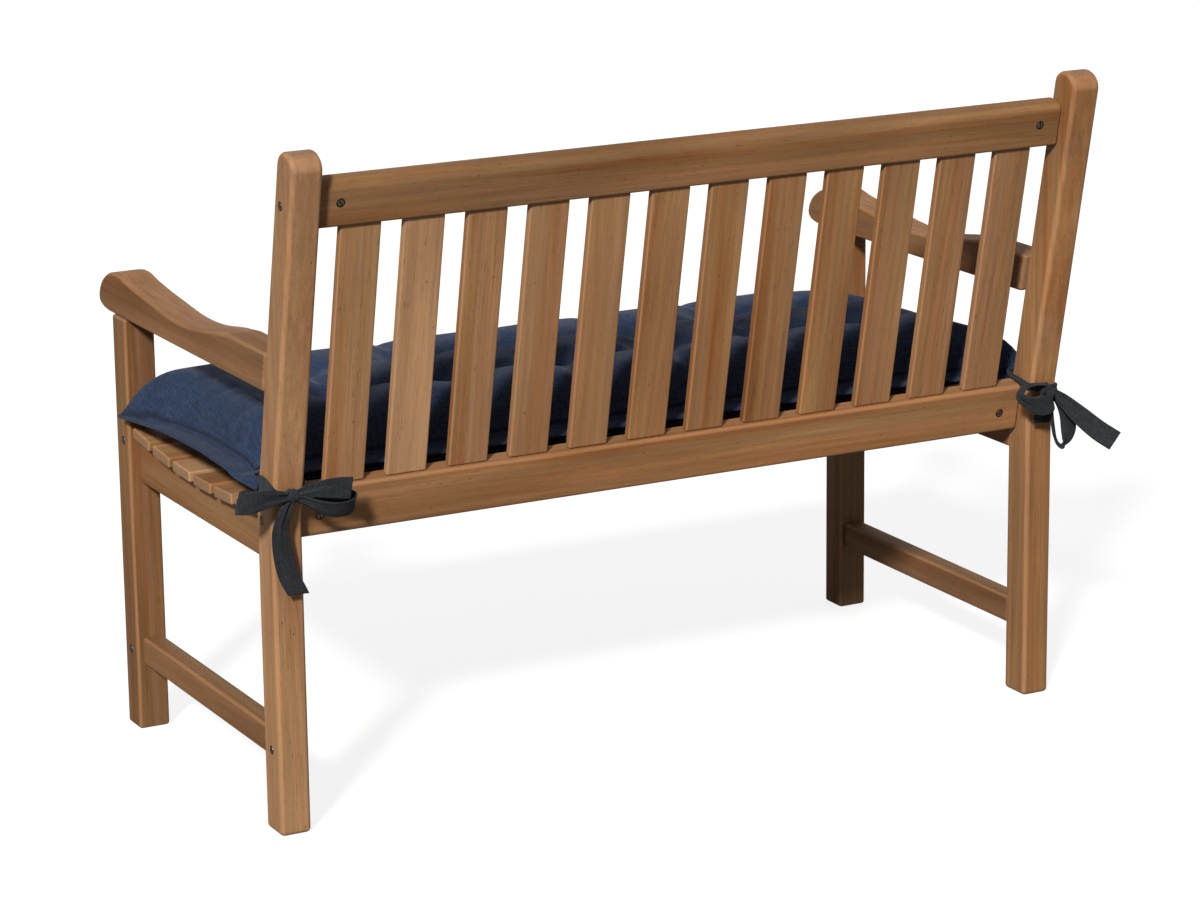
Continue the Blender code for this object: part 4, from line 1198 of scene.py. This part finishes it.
def lay_ribbon(work, weave, rows, seed, loose, slant):
    """A woven strip along its route. Where it is drawn narrow, its spare width stands in folds.

    A ribbon that is pulled tight has few of them, and a tail may be cut off at a slant.
    """
    centres = smooth_line([row[:3] for row in rows], RIBBON_STEPS)
    widths = smooth_line([(row[3], 0, 0) for row in rows], RIBBON_STEPS)
    ways = smooth_line([row[4] for row in rows], RIBBON_STEPS)
    start = run = seed * 0.37
    rings = []
    for index, centre in enumerate(centres):
        last, following = centres[max(index - 1, 0)], centres[min(index + 1, len(centres) - 1)]
        along = (following - last).normalized()
        across = (ways[index] - along * ways[index].dot(along)).normalized()
        out = along.cross(across)
        run += (centre - last).length
        width = min(widths[index].x, RIBBON_WIDTH)
        spare = 1.0 - width / RIBBON_WIDTH
        deep = FOLD_DEPTH * loose * spare * (1.0 - FOLD_CROWDING * spare)
        cut = slant * max(0.0, index / len(centres) - TAIL_CUT_FROM) / (1 - TAIL_CUT_FROM)
        ring = []
        for part in range(RIBBON_PARTS + 1):
            u = part / RIBBON_PARTS - 0.5
            fold = 0.0
            for strength, count, shift, drift in FOLD_WAVES:
                fold += strength * math.sin(2 * math.pi * count * u + seed * shift + drift * run)
            soft = SOFT_WAVE * math.sin(3.1 * u + 38.0 * run + seed)
            lift = deep * fold * (1.0 - (2 * u) ** 4 * 0.5) + soft * (1.0 - spare)
            beside = (across + along * cut) * (u * width)
            lifts = (lift - RIBBON_THICKNESS / 2, lift + RIBBON_THICKNESS / 2)
            sides = [work.verts.new(centre + (beside + out * height)) for height in lifts]
            ring.append((sides, (u * RIBBON_WIDTH, run)))
        rings.append(ring)
    for first, second in zip(rings, rings[1:]):
        for a, b, c, d in zip(first, first[1:], second[1:], second):
            for side, order in ((0, -1), (1, 1)):
                lay_face(work, weave, [(sides[side], uv) for sides, uv in (a, b, c, d)][::order])
        for edge, order in ((0, -1), (-1, 1)):
            (a, a_uv), (b, b_uv) = first[edge], second[edge]
            lay_face(work, weave, [(a[0], a_uv), (a[1], a_uv), (b[1], b_uv), (b[0], b_uv)][::order])
    for ring in (rings[0], rings[-1]):
        for (a, a_uv), (b, b_uv) in zip(ring, ring[1:]):
            lay_face(work, weave, [(a[0], a_uv), (b[0], b_uv), (b[1], b_uv), (a[1], a_uv)])
    return run - start


def tie_knot(work, weave, centre, seed):
    """The turn of ribbon that holds the bow: a small barrel with folds running round it."""
    half_x, half_y, half_z = KNOT_HALF
    rings = []
    for i in range(KNOT_LONG_STEPS + 1):
        t = -1.0 + 2.0 * i / KNOT_LONG_STEPS
        swell = max(0.0, 1.0 - abs(t) ** 2.6) ** 0.5
        ring = []
        for j in range(KNOT_ROUND_STEPS):
            turn = 2 * math.pi * j / KNOT_ROUND_STEPS
            fold = 1.0 + KNOT_FOLD * math.sin(9.0 * t + 0.9 * math.sin(turn + seed)) * swell
            y = half_y * swell * fold * math.sin(turn)
            z = half_z * swell * fold * math.cos(turn)
            point = Vector(centre) + Vector((t * half_x + KNOT_LEAN * z, y, z))
            ring.append((work.verts.new(point), (t * half_x, turn * KNOT_GIRTH)))
        rings.append(ring)
    for first, second in zip(rings, rings[1:]):
        for j in range(KNOT_ROUND_STEPS):
            k = (j + 1) % KNOT_ROUND_STEPS
            lay_face(work, weave, [first[j], first[k], second[k], second[j]])


grey_ribbon = woven_cloth("grey_ribbon", (0.007, 0.008, 0.010), (0.040, 0.045, 0.053), 0.0012, sewn=False)
for side, ribbons in (("right", RIGHT_RIBBONS), ("left", LEFT_RIBBONS)):
    work = bmesh.new()
    weave = work.loops.layers.uv.new("weave")
    ribbon_length = 0.0
    for seed, (name, rows) in enumerate(ribbons.items()):
        loose = STRAP_LOOSENESS if name.endswith("strap") else 1.0
        slant = LONG_TAIL_SLANT if (side, name) == ("right", "long_tail") else 0.0
        ribbon_length += lay_ribbon(work, weave, rows, seed + 1, loose, slant)
    tie_knot(work, weave, KNOTS[side], len(side))
    bmesh.ops.remove_doubles(work, verts=work.verts, dist=WELD)
    bmesh.ops.recalc_face_normals(work, faces=work.faces)
    bow = piece_of(f"bow_{side}", work)
    bow.data.materials.append(grey_ribbon)
    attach(bow, "root")
    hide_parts(f"tie_{side}")


# Studio
# A pale floor under a dim, even white sky, with one key light high on the left behind the
# camera and a broad weak fill in front of the bench. The floor glows a little, like a lit sweep.
FLOOR_HALF = 60
FLOOR_GLOW = 0.82
SKY_STRENGTH = 0.26


def add_sun(name, strength, spread, source):
    """Distant light that comes the way source points, and is spread degrees wide."""
    light = bpy.data.lights.new(name, "SUN")
    light.energy = strength
    light.angle = math.radians(spread)
    sun = new_piece(name, light)
    sun.rotation_euler = Vector(source).to_track_quat("Z", "Y").to_euler()
    return sun


half = FLOOR_HALF
corners = [(-half, -half, 0), (half, -half, 0), (half, half, 0), (-half, half, 0)]
floor_mesh = bpy.data.meshes.new("studio_floor")
floor_mesh.from_pydata(corners, [], [(0, 1, 2, 3)])
studio_white, floor_tree, floor_shader = new_material("studio_white")
seen = add_node(floor_tree, "ShaderNodeLightPath").outputs["Is Camera Ray"]
floor_colour = blend_colour(floor_tree, seen, (0.20, 0.20, 0.20), (0.24, 0.24, 0.24))
glow = product(floor_tree, seen, FLOOR_GLOW)
plug(floor_tree, floor_shader, {"Emission Color": (1.0, 1.0, 1.0, 1.0), "Emission Strength": glow})
plug(floor_tree, floor_shader, {"Base Color": floor_colour, "Roughness": 0.9, "Specular IOR Level": 0.0})
floor_mesh.materials.append(studio_white)
floor = new_piece("studio_floor", floor_mesh)

world = bpy.data.worlds.new("studio")
world.use_nodes = True
sky = world.node_tree.nodes["Background"]
plug(world.node_tree, sky, {"Color": (1.0, 1.0, 1.0, 1.0), "Strength": SKY_STRENGTH})
bpy.context.scene.world = world
bpy.context.scene.view_settings.view_transform = "Standard"

key_light = add_sun("key_light", 4.3, 7, (0.59, 0.65, 0.58))
key_light.data.color = (1.0, 0.98, 0.95)
front_fill = add_sun("front_fill", 1.8, 40, (-0.45, -0.85, 0.20))
front_fill.visible_glossy = False
